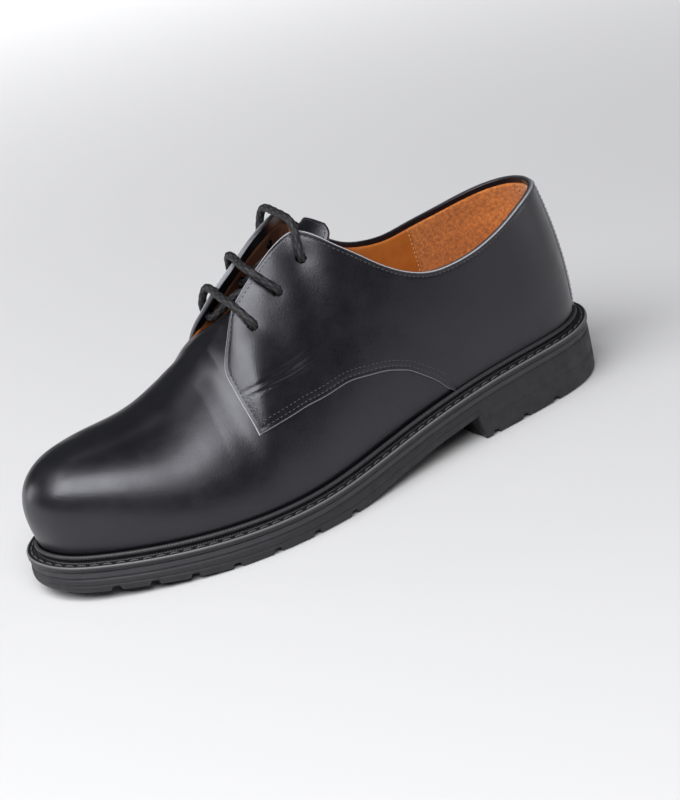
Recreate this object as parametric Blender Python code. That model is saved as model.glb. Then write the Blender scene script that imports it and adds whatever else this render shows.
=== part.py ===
"""Low lace-up shoe for the left foot, laced through three pairs of plain holes.

Shoe frame while building, in millimetres: x from the back of the heel to the
toe, y towards the outer side of the foot, z up from the floor. The finished
shoe is moved so that the middle of its footprint is the origin.
"""
import bmesh
import bpy
import numpy as np

MM = 0.001

# Main sizes, millimetres
SOLE_LENGTH = 300.0
BALL_WIDTH = 108.5
HEEL_HEIGHT = 27.4
UPPER_HEIGHT = 121.6

# Thicknesses and steps, millimetres
WALL = 2.1
QUARTER_STEP = 1.2
QUARTER_SINK = 1.2
STRIP_STEP = 0.8
STRIP_HALF = 0.030
WELT_THICK = 2.6
WELT_INNER = 11.0
FEATHER_INSET = 7.4
INSOLE_THICK = 2.8
TONGUE_THICK = 2.0
LACE_RADIUS = 1.9
EYELET_RADIUS = 3.05
BREAST_SHARE = 0.2923
BREAST_SLOPE = 2.6
NOTCH_DEPTH = 2.0
NOTCH_WIDTH = 4.2
NOTCH_REACH = 13.0

# Clearances, millimetres
GAP = 0.3
LACE_GAP = 0.45

# Sole edge seen from above: share of length, then outer and inner half widths
# as shares of the ball width
EDGE = (
    (0.0200, 0.1539, 0.1594),
    (0.0733, 0.2737, 0.2820),
    (0.1600, 0.3309, 0.3263),
    (0.2600, 0.3613, 0.3180),
    (0.3333, 0.3806, 0.2949),
    (0.4167, 0.4065, 0.3005),
    (0.5000, 0.4461, 0.3521),
    (0.5933, 0.4903, 0.4442),
    (0.6833, 0.4977, 0.5023),
    (0.7733, 0.4581, 0.5115),
    (0.8600, 0.3714, 0.4654),
    (0.9367, 0.2452, 0.3456),
    (0.9833, 0.1124, 0.2120),
)
TOE_TIP = -0.0571

# Top of the welt from the side: share of length, share of heel height
RIM = (
    (-0.0667, 1.0000),
    (0.0000, 1.0000),
    (0.1333, 0.9927),
    (0.2667, 0.9416),
    (0.3667, 0.8248),
    (0.4833, 0.6496),
    (0.6000, 0.5219),
    (0.7167, 0.5036),
    (0.8167, 0.5438),
    (0.9000, 0.5985),
    (1.0000, 0.6715),
    (1.0667, 0.7117),
)

# Underside in front of the heel: share of length, share of heel height
UNDER = (
    (0.2000, 0.5100),
    (0.2933, 0.4450),
    (0.3417, 0.3800),
    (0.3833, 0.3140),
    (0.4267, 0.2336),
    (0.4707, 0.1533),
    (0.5157, 0.0584),
    (0.5600, 0.0055),
    (0.6600, 0.0000),
    (0.7530, 0.0000),
    (0.8100, 0.0420),
    (0.8500, 0.0766),
    (0.8900, 0.1168),
    (0.9367, 0.1533),
    (0.9733, 0.1825),
    (1.0000, 0.2190),
)
FOREFOOT_FLAT = (0.5680, 0.7500)

# Top of the wall: share of length at the sole, then share of length, share of
# ball width and share of upper height where that rib ends. It runs along the
# collar, down the lace opening and along the ridge of the toe.
TOP_OUTER = (
    (0.0000, 0.0500, -0.0138, 0.7993),
    (0.0200, 0.0587, 0.0645, 0.8026),
    (0.0733, 0.0917, 0.1714, 0.7977),
    (0.1133, 0.1267, 0.2138, 0.7730),
    (0.1600, 0.1700, 0.2433, 0.7352),
    (0.2100, 0.2200, 0.2618, 0.7023),
    (0.2600, 0.2667, 0.2673, 0.6875),
    (0.3067, 0.3100, 0.2654, 0.6908),
    (0.3533, 0.3533, 0.2544, 0.7286),
    (0.3933, 0.3900, 0.2359, 0.7895),
    (0.4333, 0.4233, 0.2101, 0.8618),
    (0.4633, 0.4500, 0.1806, 0.9194),
    (0.4867, 0.4700, 0.1438, 0.9655),
    (0.5050, 0.4867, 0.1088, 0.9868),
    (0.5233, 0.5033, 0.0903, 0.9819),
    (0.5533, 0.5333, 0.0885, 0.9507),
    (0.5833, 0.5617, 0.0912, 0.9062),
    (0.6133, 0.5900, 0.0940, 0.8553),
    (0.6400, 0.6150, 0.0940, 0.7993),
    (0.6633, 0.6367, 0.0645, 0.7434),
    (0.6867, 0.6620, -0.0230, 0.6860),
)
TOP_INNER = (
    (0.0000, 0.0500, -0.0138, 0.7993),
    (0.0200, 0.0587, -0.0903, 0.7977),
    (0.0733, 0.0917, -0.1935, 0.7763),
    (0.1133, 0.1267, -0.2341, 0.7582),
    (0.1600, 0.1700, -0.2599, 0.7385),
    (0.2100, 0.2200, -0.2747, 0.7220),
    (0.2600, 0.2667, -0.2783, 0.7105),
    (0.3067, 0.3100, -0.2747, 0.7253),
    (0.3533, 0.3500, -0.2618, 0.7632),
    (0.3933, 0.3833, -0.2470, 0.8240),
    (0.4333, 0.4133, -0.2267, 0.8931),
    (0.4633, 0.4383, -0.2009, 0.9523),
    (0.4867, 0.4600, -0.1677, 0.9918),
    (0.5050, 0.4800, -0.1253, 1.0000),
    (0.5233, 0.5000, -0.0959, 0.9918),
    (0.5533, 0.5317, -0.0903, 0.9507),
    (0.5833, 0.5633, -0.0903, 0.8947),
    (0.6133, 0.5933, -0.0922, 0.8438),
    (0.6400, 0.6200, -0.0922, 0.7944),
    (0.6633, 0.6417, -0.0793, 0.7451),
    (0.6867, 0.6620, -0.0230, 0.6860),
)
RIDGE = (
    (0.7133, 0.6877, -0.0276, 0.6357),
    (0.7467, 0.7167, -0.0295, 0.5905),
    (0.7867, 0.7533, -0.0332, 0.5461),
    (0.8267, 0.7867, -0.0378, 0.5238),
    (0.8667, 0.8167, -0.0415, 0.5156),
    (0.9067, 0.8400, -0.0442, 0.5123),
    (0.9433, 0.8560, -0.0461, 0.5099),
    (0.9733, 0.8667, -0.0470, 0.5090),
    (1.0000, 0.8733, -0.0479, 0.5082),
)

# Fullness of the ribs: share of length at the sole, rise of the lower handle,
# its lean outwards, pull of the upper handle, drop of the upper handle
FULLNESS = (
    (0.0000, 0.33, 0.05, 0.80, 0.33),
    (0.0733, 0.33, 0.10, 0.75, 0.33),
    (0.1600, 0.33, 0.14, 0.65, 0.33),
    (0.2600, 0.33, 0.10, 0.62, 0.33),
    (0.3533, 0.33, 0.04, 0.60, 0.33),
    (0.4633, 0.34, 0.03, 0.50, 0.33),
    (0.5533, 0.34, 0.05, 0.50, 0.30),
    (0.6133, 0.34, 0.07, 0.52, 0.24),
    (0.6633, 0.38, 0.08, 0.58, 0.10),
    (0.7133, 0.42, 0.09, 0.62, 0.03),
    (0.7867, 0.46, 0.12, 0.70, 0.00),
    (0.8667, 0.50, 0.15, 0.85, 0.00),
    (0.9433, 0.52, 0.22, 1.10, 0.00),
    (1.0000, 0.52, 0.34, 1.22, 0.00),
)

# Height of the inner wall layer: share of length at the sole, share of the rib
LAYER_TOP = (
    (0.0000, 0.975),
    (0.4333, 0.975),
    (0.4633, 0.950),
    (0.5000, 0.810),
    (0.5333, 0.780),
    (0.6200, 0.780),
    (0.6450, 0.840),
    (0.6650, 0.925),
    (0.6860, 1.000),
    (1.0000, 1.000),
)
CLOSED_FROM = 0.6860

# Lower seam of the quarter: share of length at the sole, share of the rib
SEAM = (
    (0.0000, 0.060),
    (0.1500, 0.060),
    (0.3100, 0.060),
    (0.3310, 0.081),
    (0.3423, 0.144),
    (0.3507, 0.188),
    (0.3650, 0.244),
    (0.3767, 0.281),
    (0.3910, 0.319),
    (0.4083, 0.342),
    (0.4280, 0.356),
    (0.4667, 0.356),
    (0.5100, 0.350),
    (0.5567, 0.363),
    (0.5833, 0.381),
    (0.6133, 0.388),
    (0.6417, 0.388),
    (0.6763, 0.388),
)

# Front edges of the quarters from the low corner to the top of the lace opening:
# share of length at the sole, share of the rib
FACING_OUTER = (
    (0.6763, 0.388),
    (0.6790, 0.475),
    (0.6820, 0.575),
    (0.6827, 0.644),
    (0.6820, 0.719),
    (0.6763, 0.781),
    (0.6703, 0.831),
    (0.6647, 0.875),
    (0.6587, 0.919),
    (0.6500, 0.965),
    (0.6400, 1.000),
)
FACING_INNER = (
    (0.6400, 0.388),
    (0.6425, 0.475),
    (0.6440, 0.575),
    (0.6453, 0.644),
    (0.6453, 0.719),
    (0.6433, 0.781),
    (0.6399, 0.831),
    (0.6360, 0.875),
    (0.6318, 0.919),
    (0.6265, 0.965),
    (0.6200, 1.000),
)

# Lace holes: share of length at the sole, share of the rib, then the shares of
# length where the bar crosses the outer and the inner edge of the opening
HOLES = (
    (0.5127, 0.885, 0.5100, 0.5080),
    (0.5670, 0.845, 0.5980, 0.5830),
    (0.6243, 0.822, 0.6415, 0.6310),
)

# Tongue down its middle: share of length, share of upper height, then its half
# width and the side shift of its middle as shares of the ball width
TONGUE = (
    (0.4367, 0.9745, 0.080, 0.000),
    (0.4440, 0.9570, 0.118, 0.000),
    (0.4600, 0.9250, 0.130, 0.000),
    (0.4950, 0.8760, 0.132, -0.004),
    (0.5500, 0.8080, 0.132, -0.006),
    (0.6000, 0.7400, 0.132, -0.010),
    (0.6330, 0.6960, 0.136, -0.014),
    (0.6600, 0.6550, 0.140, -0.020),
    (0.6870, 0.6080, 0.144, -0.026),
    (0.7130, 0.5630, 0.148, -0.028),
)
TONGUE_ROUND = 26.0

# Looseness of each bar of the lace over its inner and its outer flap edge and
# its rise between them, millimetres, top bar first
BAR_SLACK = (
    (1.0, 1.4, 2.2),
    (0.4, 0.3, 0.0),
    (0.4, 0.3, 0.0),
)
CROSS_LIFT = 6.0

# Notches of the tread edge, shares of length
NOTCHES = (0.146, 0.212, 0.274, 0.567, 0.638, 0.705, 0.768, 0.827, 0.880, 0.928)

HEEL_STEPS = 12
FRONT_STEPS = 27
WALL_ROWS = 9
EVEN_ROWS = 7
EVEN_TO = 0.76
QUARTER_COLUMNS = 30
QUARTER_ROWS = 7
COLUMN_CROWDING = 10.0


def curve(rows):
    """Natural cubic curve through rows whose first column is the position."""
    table = np.array(rows, float)
    knots = table[:, 0]
    values = table[:, 1:]
    n = len(knots)
    h = np.diff(knots)
    a = np.eye(n)
    r = np.zeros((n, values.shape[1]))
    for i in range(1, n - 1):
        a[i, i - 1:i + 2] = h[i - 1], 2 * (h[i - 1] + h[i]), h[i]
        r[i] = 6 * (values[i + 1] - values[i]) / h[i]
        r[i] -= 6 * (values[i] - values[i - 1]) / h[i - 1]
    bend = np.linalg.solve(a, r)

    def at(x):
        x = np.asarray(x, float)
        i = np.clip(np.searchsorted(knots, x) - 1, 0, n - 2)
        p = ((knots[i + 1] - x) / h[i])[..., None]
        q = ((x - knots[i]) / h[i])[..., None]
        s = (h[i] ** 2)[..., None] / 6
        line = p * values[i] + q * values[i + 1]
        return line + ((p ** 3 - p) * bend[i] + (q ** 3 - q) * bend[i + 1]) * s

    return at


def edge_knots():
    """Positions 0 at the heel to 1 at the toe for the rows of the sole edge."""
    rows = np.array([(0, 0, 0)] + list(EDGE) + [(1, TOE_TIP, -TOE_TIP)])
    xy = rows * (SOLE_LENGTH, BALL_WIDTH, BALL_WIDTH)
    step = np.diff(xy, axis=0)
    outer = np.hypot(step[:, 0], step[:, 1]) ** 0.8
    inner = np.hypot(step[:, 0], step[:, 2]) ** 0.8
    t = np.concatenate([[0], np.cumsum(outer + inner)])
    return t / t[-1], xy


KNOTS, EDGE_XY = edge_knots()


def edge_curve():
    """Sole edge once round: 0 heel, 0 to 1 outer side, 1 toe, 1 to 2 inner."""
    outer = np.column_stack([KNOTS, EDGE_XY[:, 0], EDGE_XY[:, 1]])
    inner = np.column_stack([2 - KNOTS, EDGE_XY[:, 0], -EDGE_XY[:, 2]])[::-1][1:]
    once = np.concatenate([outer, inner])
    before = once[-4:-1] - (2, 0, 0)
    after = once[1:4] + (2, 0, 0)
    return curve(np.concatenate([before, once, after]))


EDGE_AT = edge_curve()
SAMPLES = np.linspace(0, 1, 601)
SAMPLE_X = EDGE_AT(SAMPLES)[:, 0] / SOLE_LENGTH


def place(share):
    """Position along one side of the sole edge for a share of the length."""
    return np.interp(share, SAMPLE_X, SAMPLES)


def outward(s):
    d = EDGE_AT(s + 1e-4) - EDGE_AT(s - 1e-4)
    d /= np.linalg.norm(d, axis=-1)[..., None]
    return np.stack([-d[..., 1], d[..., 0]], -1)


def edge(s, inset):
    """Sole edge moved inwards by a distance."""
    s = np.asarray(s, float) % 2.0
    return EDGE_AT(s) - outward(s) * np.asarray(inset, float)[..., None]


RIM_AT = curve(np.array(RIM) * (1.0, HEEL_HEIGHT))
UNDER_AT = curve(np.array(UNDER) * (1.0, HEEL_HEIGHT))


def rim(x):
    """Height of the welt top."""
    return RIM_AT(x / SOLE_LENGTH)[..., 0]


def under(x):
    """Height of the underside: heel block, arch, flat forefoot, toe spring."""
    share = x / SOLE_LENGTH
    z = np.maximum(UNDER_AT(share)[..., 0], 0.0)
    flat = (share > FOREFOOT_FLAT[0]) & (share < FOREFOOT_FLAT[1])
    z = np.where(flat, 0.0, z)
    return np.where(share < BREAST_SHARE + 0.002, 0.0, z)


def by_place(rows, *sizes):
    """Curve over the position along the edge, rows given by share of length."""
    table = np.array(rows, float)
    table[:, 0] = place(table[:, 0])
    table[:, 1:] *= np.array(sizes)
    return curve(table)


TOP_SIZES = (SOLE_LENGTH, BALL_WIDTH, UPPER_HEIGHT)
TOP_OUTER_AT = by_place(TOP_OUTER + RIDGE, *TOP_SIZES)
TOP_INNER_AT = by_place(TOP_INNER + RIDGE, *TOP_SIZES)
FULL_AT = by_place(FULLNESS, 1.0, 1.0, 1.0, 1.0)
RIDGE_XYZ = np.array(RIDGE)[:, 1:] * TOP_SIZES


def ridge_slope(x):
    mid = (RIDGE_XYZ[:-1, 0] + RIDGE_XYZ[1:, 0]) / 2
    slope = np.diff(RIDGE_XYZ[:, 2]) / np.diff(RIDGE_XYZ[:, 0])
    return np.interp(x, mid, slope)


def handles(s):
    """Four control points of the rib that rises from each edge position."""
    s = np.asarray(s, float) % 2.0
    t = np.where(s <= 1, s, 2 - s)
    top = np.where((s <= 1)[..., None], TOP_OUTER_AT(t), TOP_INNER_AT(t))
    flat = edge(s, np.full(s.shape, FEATHER_INSET))
    foot = np.concatenate([flat, (rim(flat[..., 0]) + GAP)[..., None]], -1)
    rise, lean, pull, drop = np.moveaxis(FULL_AT(t), -1, 0)
    d = top - foot
    low = foot.copy()
    low[..., :2] += outward(s) * (lean * rise * d[..., 2])[..., None]
    low[..., 2] += rise * d[..., 2]
    high = top.copy()
    high[..., :2] -= pull[..., None] * d[..., :2]
    high[..., 2] -= drop * d[..., 2]
    front = np.clip((top[..., 0] / SOLE_LENGTH - 0.65) / 0.05, 0, 1)
    high[..., 2] -= front * ridge_slope(top[..., 0]) * d[..., 0] * pull
    return foot, low, high, top


def skin(s, b):
    """Outer face of the wall: s round the sole edge, b up the rib."""
    foot, low, high, top = handles(s)
    b = np.asarray(b, float)[..., None]
    a = 1 - b
    return a ** 3 * foot + 3 * a * a * b * low + 3 * a * b * b * high + b ** 3 * top


def skin_normal(s, b):
    s = np.asarray(s, float)
    b = np.minimum(np.asarray(b, float), 0.97)
    along = skin(s + 1e-3, b) - skin(s - 1e-3, b)
    up = skin(s, b + 1e-3) - skin(s, b - 1e-3)
    n = np.cross(up, along)
    return n / np.linalg.norm(n, axis=-1)[..., None]


def offset(s, b, distance):
    return skin(s, b) + skin_normal(s, b) * distance


def side_stations():
    """Edge positions from heel to toe, with a pair at the heel breast."""
    breast = place(BREAST_SHARE)
    waist = place(BREAST_SHARE + BREAST_SLOPE / SOLE_LENGTH)
    rear = np.linspace(0, breast, HEEL_STEPS + 1)
    front = np.linspace(waist, 1, FRONT_STEPS + 1)
    return np.concatenate([rear, front])


SIDE = side_stations()
ROUND = np.concatenate([SIDE, 2 - SIDE[1:-1][::-1]])
COUNT = len(ROUND)
HALF = len(SIDE) - 1


def ring(inset, height):
    """Points round the sole at an inset; height is a function of x."""
    xy = edge(ROUND, np.full(COUNT, float(inset)))
    return np.column_stack([xy, height(xy[:, 0])])


def bridge(a, b, count, closed=True):
    """Faces between two rows of vertices that start at a and b."""
    faces = []
    for i in range(count if closed else count - 1):
        j = (i + 1) % count
        faces.append((a + i, a + j, b + j, b + i))
    return faces


def cap(start, flip):
    """Strip of faces across a ring from the outer to the inner side."""
    faces = [(start, start + 1, start + COUNT - 1)]
    for i in range(1, HALF - 1):
        left = start + i
        right = start + COUNT - i
        faces.append((left, left + 1, right - 1, right))
    faces.append((start + HALF - 1, start + HALF, start + HALF + 1))
    return [f[::-1] for f in faces] if flip else faces


def add(name, points, faces):
    """One named object from points in millimetres, faces turned outwards."""
    mesh = bpy.data.meshes.new(name)
    mesh.from_pydata([tuple(p * MM) for p in np.asarray(points)], [], faces)
    work = bmesh.new()
    work.from_mesh(mesh)
    bmesh.ops.recalc_face_normals(work, faces=work.faces)
    work.to_mesh(mesh)
    work.free()
    mesh.update()
    made = bpy.data.objects.new(name, mesh)
    bpy.context.scene.collection.objects.link(made)
    return made


def paint(made, color, roughness):
    mat = bpy.data.materials.new(made.name + "_material")
    mat.use_nodes = True
    shader = mat.node_tree.nodes["Principled BSDF"]
    shader.inputs["Base Color"].default_value = (*color, 1.0)
    shader.inputs["Roughness"].default_value = roughness
    made.data.materials.clear()
    made.data.materials.append(mat)


def combine(target, others, operation):
    """Exact union or difference with other closed objects, then tidy away."""
    for other in others:
        step = target.modifiers.new(operation, "BOOLEAN")
        step.operation = operation
        step.solver = "EXACT"
        step.object = other
        bpy.context.view_layer.objects.active = target
        target.select_set(True)
        bpy.ops.object.modifier_apply(modifier=step.name)
        bpy.data.objects.remove(other, do_unlink=True)


def make_outsole():
    """Moulded sole with heel, arch and toe spring, stepped round its side."""
    rows = [
        ring(2.4, under),
        ring(0.9, lambda x: under(x) + 0.5),
        ring(0.5, lambda x: under(x) + 1.8),
        ring(0.3, lambda x: rim(x) - 6.8),
        ring(0.8, lambda x: rim(x) - 6.2),
        ring(0.7, lambda x: rim(x) - 4.2),
        ring(1.9, lambda x: rim(x) - 3.7),
        ring(1.9, lambda x: rim(x) - WELT_THICK - GAP),
        ring(WELT_INNER + GAP, lambda x: rim(x) - WELT_THICK - GAP),
        ring(WELT_INNER + GAP, rim),
    ]
    faces = cap(0, True)
    for k in range(len(rows) - 1):
        faces += bridge(k * COUNT, (k + 1) * COUNT, COUNT)
    faces += cap((len(rows) - 1) * COUNT, False)
    sole = add("outsole", np.concatenate(rows), faces)
    combine(sole, [notch_cutters()], "DIFFERENCE")
    return sole


def notch_cutters():
    """Wedges that notch the tread edge on both sides."""
    points = []
    faces = []
    for share in NOTCHES:
        for s in (place(share), 2 - place(share)):
            s = np.array(float(s))
            out = np.append(outward(s), 0.0)
            along = np.array([-out[1], out[0], 0.0])
            up = np.array([0.0, 0.0, 1.0])
            xy = EDGE_AT(s)
            mid = np.array([xy[0], xy[1], float(under(xy[0]))])
            start = len(points)
            for reach in (4.0, -NOTCH_REACH):
                for half, level in ((0.65, -4.0), (0.65, 0.0), (0.35, NOTCH_DEPTH)):
                    for sign in (-1, 1):
                        side = along * sign * half * NOTCH_WIDTH
                        points.append(mid + out * reach + side + up * level)
            a = start
            b = start + 6
            ringed = (0, 2, 4, 5, 3, 1)
            for k in range(6):
                i = ringed[k]
                j = ringed[(k + 1) % 6]
                faces.append((a + i, a + j, b + j, b + i))
            faces.append(tuple(a + i for i in ringed))
            faces.append(tuple(b + i for i in ringed[::-1]))
    cutter = add("notch_guide", points, faces)
    cutter.hide_render = True
    cutter.display_type = "WIRE"
    return cutter


WELT_SECTION = (
    (0.0, -WELT_THICK),
    (0.0, -0.5),
    (0.4, 0.0),
    (3.6, 0.0),
    (4.0, -0.5),
    (4.3, 1.5),
    (4.9, 3.3),
    (5.7, 3.3),
    (6.4, 1.3),
    (6.6, 0.0),
    (WELT_INNER, 0.0),
    (WELT_INNER, -WELT_THICK),
)


def make_welt():
    """Flat strip round the whole shoe with a raised bead beside the upper."""
    rows = []
    for inset, level in WELT_SECTION:
        rows.append(ring(inset, lambda x, level=level: rim(x) + level))
    faces = []
    for k in range(len(rows)):
        faces += bridge(k * COUNT, ((k + 1) % len(rows)) * COUNT, COUNT)
    return add("welt", np.concatenate(rows), faces)


def make_insole():
    """Inner sole that lies inside the wall."""
    inset = FEATHER_INSET + WALL + 0.45
    rows = [
        ring(inset, lambda x: rim(x) + GAP),
        ring(inset, lambda x: rim(x) + INSOLE_THICK - 0.6),
        ring(inset + 0.7, lambda x: rim(x) + INSOLE_THICK),
    ]
    faces = cap(0, True)
    faces += bridge(0, COUNT, COUNT)
    faces += bridge(COUNT, 2 * COUNT, COUNT)
    faces += cap(2 * COUNT, False)
    return add("insole", np.concatenate(rows), faces)


def layer_top(s):
    t = np.where(s <= 1, s, 2 - s)
    table = np.array(LAYER_TOP)
    return np.interp(t, place(table[:, 0]), table[:, 1])


def make_wall():
    """Inner layer: one wall all round, open at the collar and underneath."""
    closed = SIDE >= place(CLOSED_FROM)
    tops = layer_top(ROUND)
    points = []
    index = {}
    for depth in (0, 1):
        for j in range(WALL_ROWS + 1):
            b = np.full(COUNT, EVEN_TO * min(j / EVEN_ROWS, 1.0))
            if j > EVEN_ROWS:
                b = b + (tops - EVEN_TO) * (j - EVEN_ROWS) / (WALL_ROWS - EVEN_ROWS)
            row = offset(ROUND, b, -WALL * depth)
            for i in range(COUNT):
                mirror = (COUNT - i) % COUNT
                side = min(i, mirror)
                shared = j == WALL_ROWS and closed[side]
                if shared and i > mirror:
                    index[depth, j, i] = index[depth, j, mirror]
                    continue
                index[depth, j, i] = len(points)
                point = row[i]
                if shared and i != mirror:
                    point = (row[i] + row[mirror]) / 2
                points.append(point)
    faces = []
    for i in range(COUNT):
        k = (i + 1) % COUNT
        for j in range(WALL_ROWS):
            for depth in (0, 1):
                loop = [index[depth, j, i], index[depth, j, k]]
                loop += [index[depth, j + 1, k], index[depth, j + 1, i]]
                loop = list(dict.fromkeys(loop))
                faces.append(tuple(loop[::-1] if depth else loop))
        faces.append((index[0, 0, i], index[0, 0, k], index[1, 0, k], index[1, 0, i]))
        open_here = not (closed[min(i, COUNT - i)] and closed[min(k, (COUNT - k) % COUNT)])
        if open_here:
            n = WALL_ROWS
            loop = [index[0, n, i], index[0, n, k], index[1, n, k], index[1, n, i]]
            faces.append(tuple(dict.fromkeys(loop)))
    return add("upper", points, faces)


def quarter_sheet(facing, columns, rows):
    """Positions (s, b) over one quarter, blended between its four edges."""
    low_end = place(facing[0][0])
    high_end = place(facing[-1][0])
    seam = by_place(SEAM, 1.0)
    fine = np.linspace(0, 1, 500)
    low = np.column_stack([fine * low_end, seam(fine * low_end)[:, 0]])
    high = np.column_stack([fine * high_end, np.ones(500)])
    measure = np.zeros(499)
    for line in (low, high):
        step = np.diff(skin(line[:, 0], line[:, 1]), axis=0)
        size = np.linalg.norm(step, axis=1)
        heading = step / size[:, None]
        turn = np.linalg.norm(np.diff(heading, axis=0), axis=1)
        measure += size
        measure[1:] += turn * COLUMN_CROWDING
    total = np.concatenate([[0], np.cumsum(measure)])
    pick = np.interp(np.linspace(0, total[-1], columns + 1), total, np.arange(500))
    low = np.column_stack([np.interp(pick, np.arange(500), low[:, k]) for k in (0, 1)])
    high = np.column_stack([np.interp(pick, np.arange(500), high[:, k]) for k in (0, 1)])
    table = np.array(facing)
    table[:, 0] = place(table[:, 0])
    u = np.linspace(0, 1, columns + 1)[:, None, None]
    v = np.linspace(0, 1, rows + 1)
    front = curve(np.column_stack([table[:, 1], table]))(low[-1, 1] + (1 - low[-1, 1]) * v)
    back = np.column_stack([np.zeros(rows + 1), low[0, 1] + (1 - low[0, 1]) * v])
    v = v[None, :, None]
    u = (low[:, 0] / low[-1, 0])[:, None, None]
    sheet = (1 - v) * low[:, None, :] + v * high[:, None, :]
    sheet = sheet + (1 - u) * back[None] + u * front[None]
    corners = (1 - u) * (1 - v) * low[0] + u * (1 - v) * low[-1]
    corners = corners + (1 - u) * v * high[0] + u * v * high[-1]
    return sheet - corners


def solid_sheet(name, s, b, inner, outer):
    """Closed plate over a grid of positions, between two offsets."""
    across, up = s.shape
    size = across * up
    points = np.concatenate([
        offset(s, b, outer).reshape(-1, 3),
        offset(s, b, inner).reshape(-1, 3),
    ])
    faces = []
    for i in range(across - 1):
        for j in range(up - 1):
            a = i * up + j
            loop = (a, a + up, a + up + 1, a + 1)
            faces.append(loop)
            faces.append(tuple(size + k for k in loop[::-1]))
    border = [i * up for i in range(across)]
    border += [(across - 1) * up + j for j in range(1, up)]
    border += [i * up + up - 1 for i in range(across - 2, -1, -1)]
    border += [j for j in range(up - 2, 0, -1)]
    for k in range(len(border)):
        a = border[k]
        c = border[(k + 1) % len(border)]
        faces.append((a, a + size, c + size, c))
    return add(name, points, faces)


def make_quarters():
    """Outer layer from corner to corner round the heel, with the lace flaps."""
    outer = quarter_sheet(FACING_OUTER, QUARTER_COLUMNS, QUARTER_ROWS)
    inner = quarter_sheet(FACING_INNER, QUARTER_COLUMNS, QUARTER_ROWS)[::-1]
    s = np.concatenate([-inner[..., 0], outer[1:, :, 0]])
    b = np.concatenate([inner[..., 1], outer[1:, :, 1]])
    return solid_sheet("quarters", s, b, -QUARTER_SINK, QUARTER_STEP)


def make_strip():
    """Narrow strip over the seam at the back of the heel."""
    across = np.linspace(-STRIP_HALF, STRIP_HALF, 5)
    up = np.linspace(SEAM[0][1] + 0.004, 0.994, 10)
    s, b = np.meshgrid(across, up, indexing="ij")
    return solid_sheet("strip", s, b, QUARTER_STEP / 6, QUARTER_STEP + STRIP_STEP)


def edge_place(side, share):
    """Edge position for a share of the length on the outer or inner side."""
    s = float(place(share))
    return np.array(s if side > 0 else 2 - s)


def hole(side, k):
    """Middle of a lace hole and the outward direction there."""
    s = edge_place(side, HOLES[k][0])
    b = np.array(HOLES[k][1])
    return skin(s, b), skin_normal(s, b)


def rod(name, start, end, radius, sides):
    axis = end - start
    axis = axis / np.linalg.norm(axis)
    first = np.cross(axis, (0.0, 0.0, 1.0))
    first /= np.linalg.norm(first)
    second = np.cross(axis, first)
    turn = np.linspace(0, 2 * np.pi, sides, endpoint=False)
    rim_points = first * np.cos(turn)[:, None] + second * np.sin(turn)[:, None]
    points = np.concatenate([start + rim_points * radius, end + rim_points * radius])
    faces = bridge(0, sides, sides)
    faces.append(tuple(range(sides))[::-1])
    faces.append(tuple(range(sides, 2 * sides)))
    return add(name, points, faces)


def make_upper():
    """Hollow upper: wall, quarters and heel strip as one body, six holes."""
    wall = make_wall()
    combine(wall, [make_quarters()], "UNION")
    combine(wall, [make_strip()], "UNION")
    for side in (1, -1):
        for k in range(len(HOLES)):
            middle, out = hole(side, k)
            punch = rod("hole_guide", middle - out * 6, middle + out * 6, EYELET_RADIUS, 12)
            combine(wall, [punch], "DIFFERENCE")
    return wall


def make_tongue():
    """Arched tongue from under the toe part up to above the lace opening."""
    table = np.array(TONGUE) * (SOLE_LENGTH, UPPER_HEIGHT, BALL_WIDTH, BALL_WIDTH)
    rows = curve(np.column_stack([np.linspace(0, 1, len(table)), table]))(np.linspace(0, 1, 17))
    across = np.linspace(-1, 1, 9)
    points = []
    for depth in (0.0, TONGUE_THICK):
        for k, (x, z, half, shift) in enumerate(rows):
            near = rows[max(k - 1, 0)]
            far = rows[min(k + 1, len(rows) - 1)]
            run = np.array([far[0] - near[0], far[1] - near[1]])
            run /= np.linalg.norm(run)
            for a in across:
                y = a * half
                turn = np.arcsin(y / TONGUE_ROUND)
                sag = TONGUE_ROUND * (1 - np.cos(turn)) + depth * np.cos(turn)
                spread = y - depth * np.sin(turn)
                points.append((x + run[1] * sag, shift + spread, z - run[0] * sag))
    count = len(across)
    size = count * len(rows)
    faces = []
    for k in range(len(rows) - 1):
        for i in range(count - 1):
            a = k * count + i
            loop = (a, a + 1, a + count + 1, a + count)
            faces.append(loop)
            faces.append(tuple(size + v for v in loop[::-1]))
    border = list(range(count))
    border += [k * count + count - 1 for k in range(1, len(rows))]
    border += [size - 2 - i for i in range(count - 1)]
    border += [k * count for k in range(len(rows) - 2, 0, -1)]
    for k in range(len(border)):
        a = border[k]
        c = border[(k + 1) % len(border)]
        faces.append((a, c, c + size, a + size))
    return add("tongue", points, faces)


def lace_end(side, k):
    """Points from inside a hole to just over the edge of its flap."""
    middle, out = hole(side, k)
    share, b, outer_share, inner_share = HOLES[k]
    crossing = outer_share if side > 0 else inner_share
    slack = BAR_SLACK[k][0 if side < 0 else 1]
    clear = QUARTER_STEP + LACE_GAP + LACE_RADIUS
    low = middle - out * (QUARTER_SINK + LACE_GAP + LACE_RADIUS)
    near = middle + out * (QUARTER_STEP + 1.3)
    way = 0.4
    s = edge_place(side, share + (crossing - share) * way)
    lip = offset(s, np.array(b + (1.0 - b) * way), clear + slack * 0.6)
    s = edge_place(side, crossing)
    lean = skin_normal(s, np.array(1.0)) + (0.0, 0.0, 1.0)
    lean /= np.linalg.norm(lean)
    over = skin(s, np.array(1.0)) + lean * (clear + 0.3 + slack)
    return [low, near, lip, over]


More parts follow.
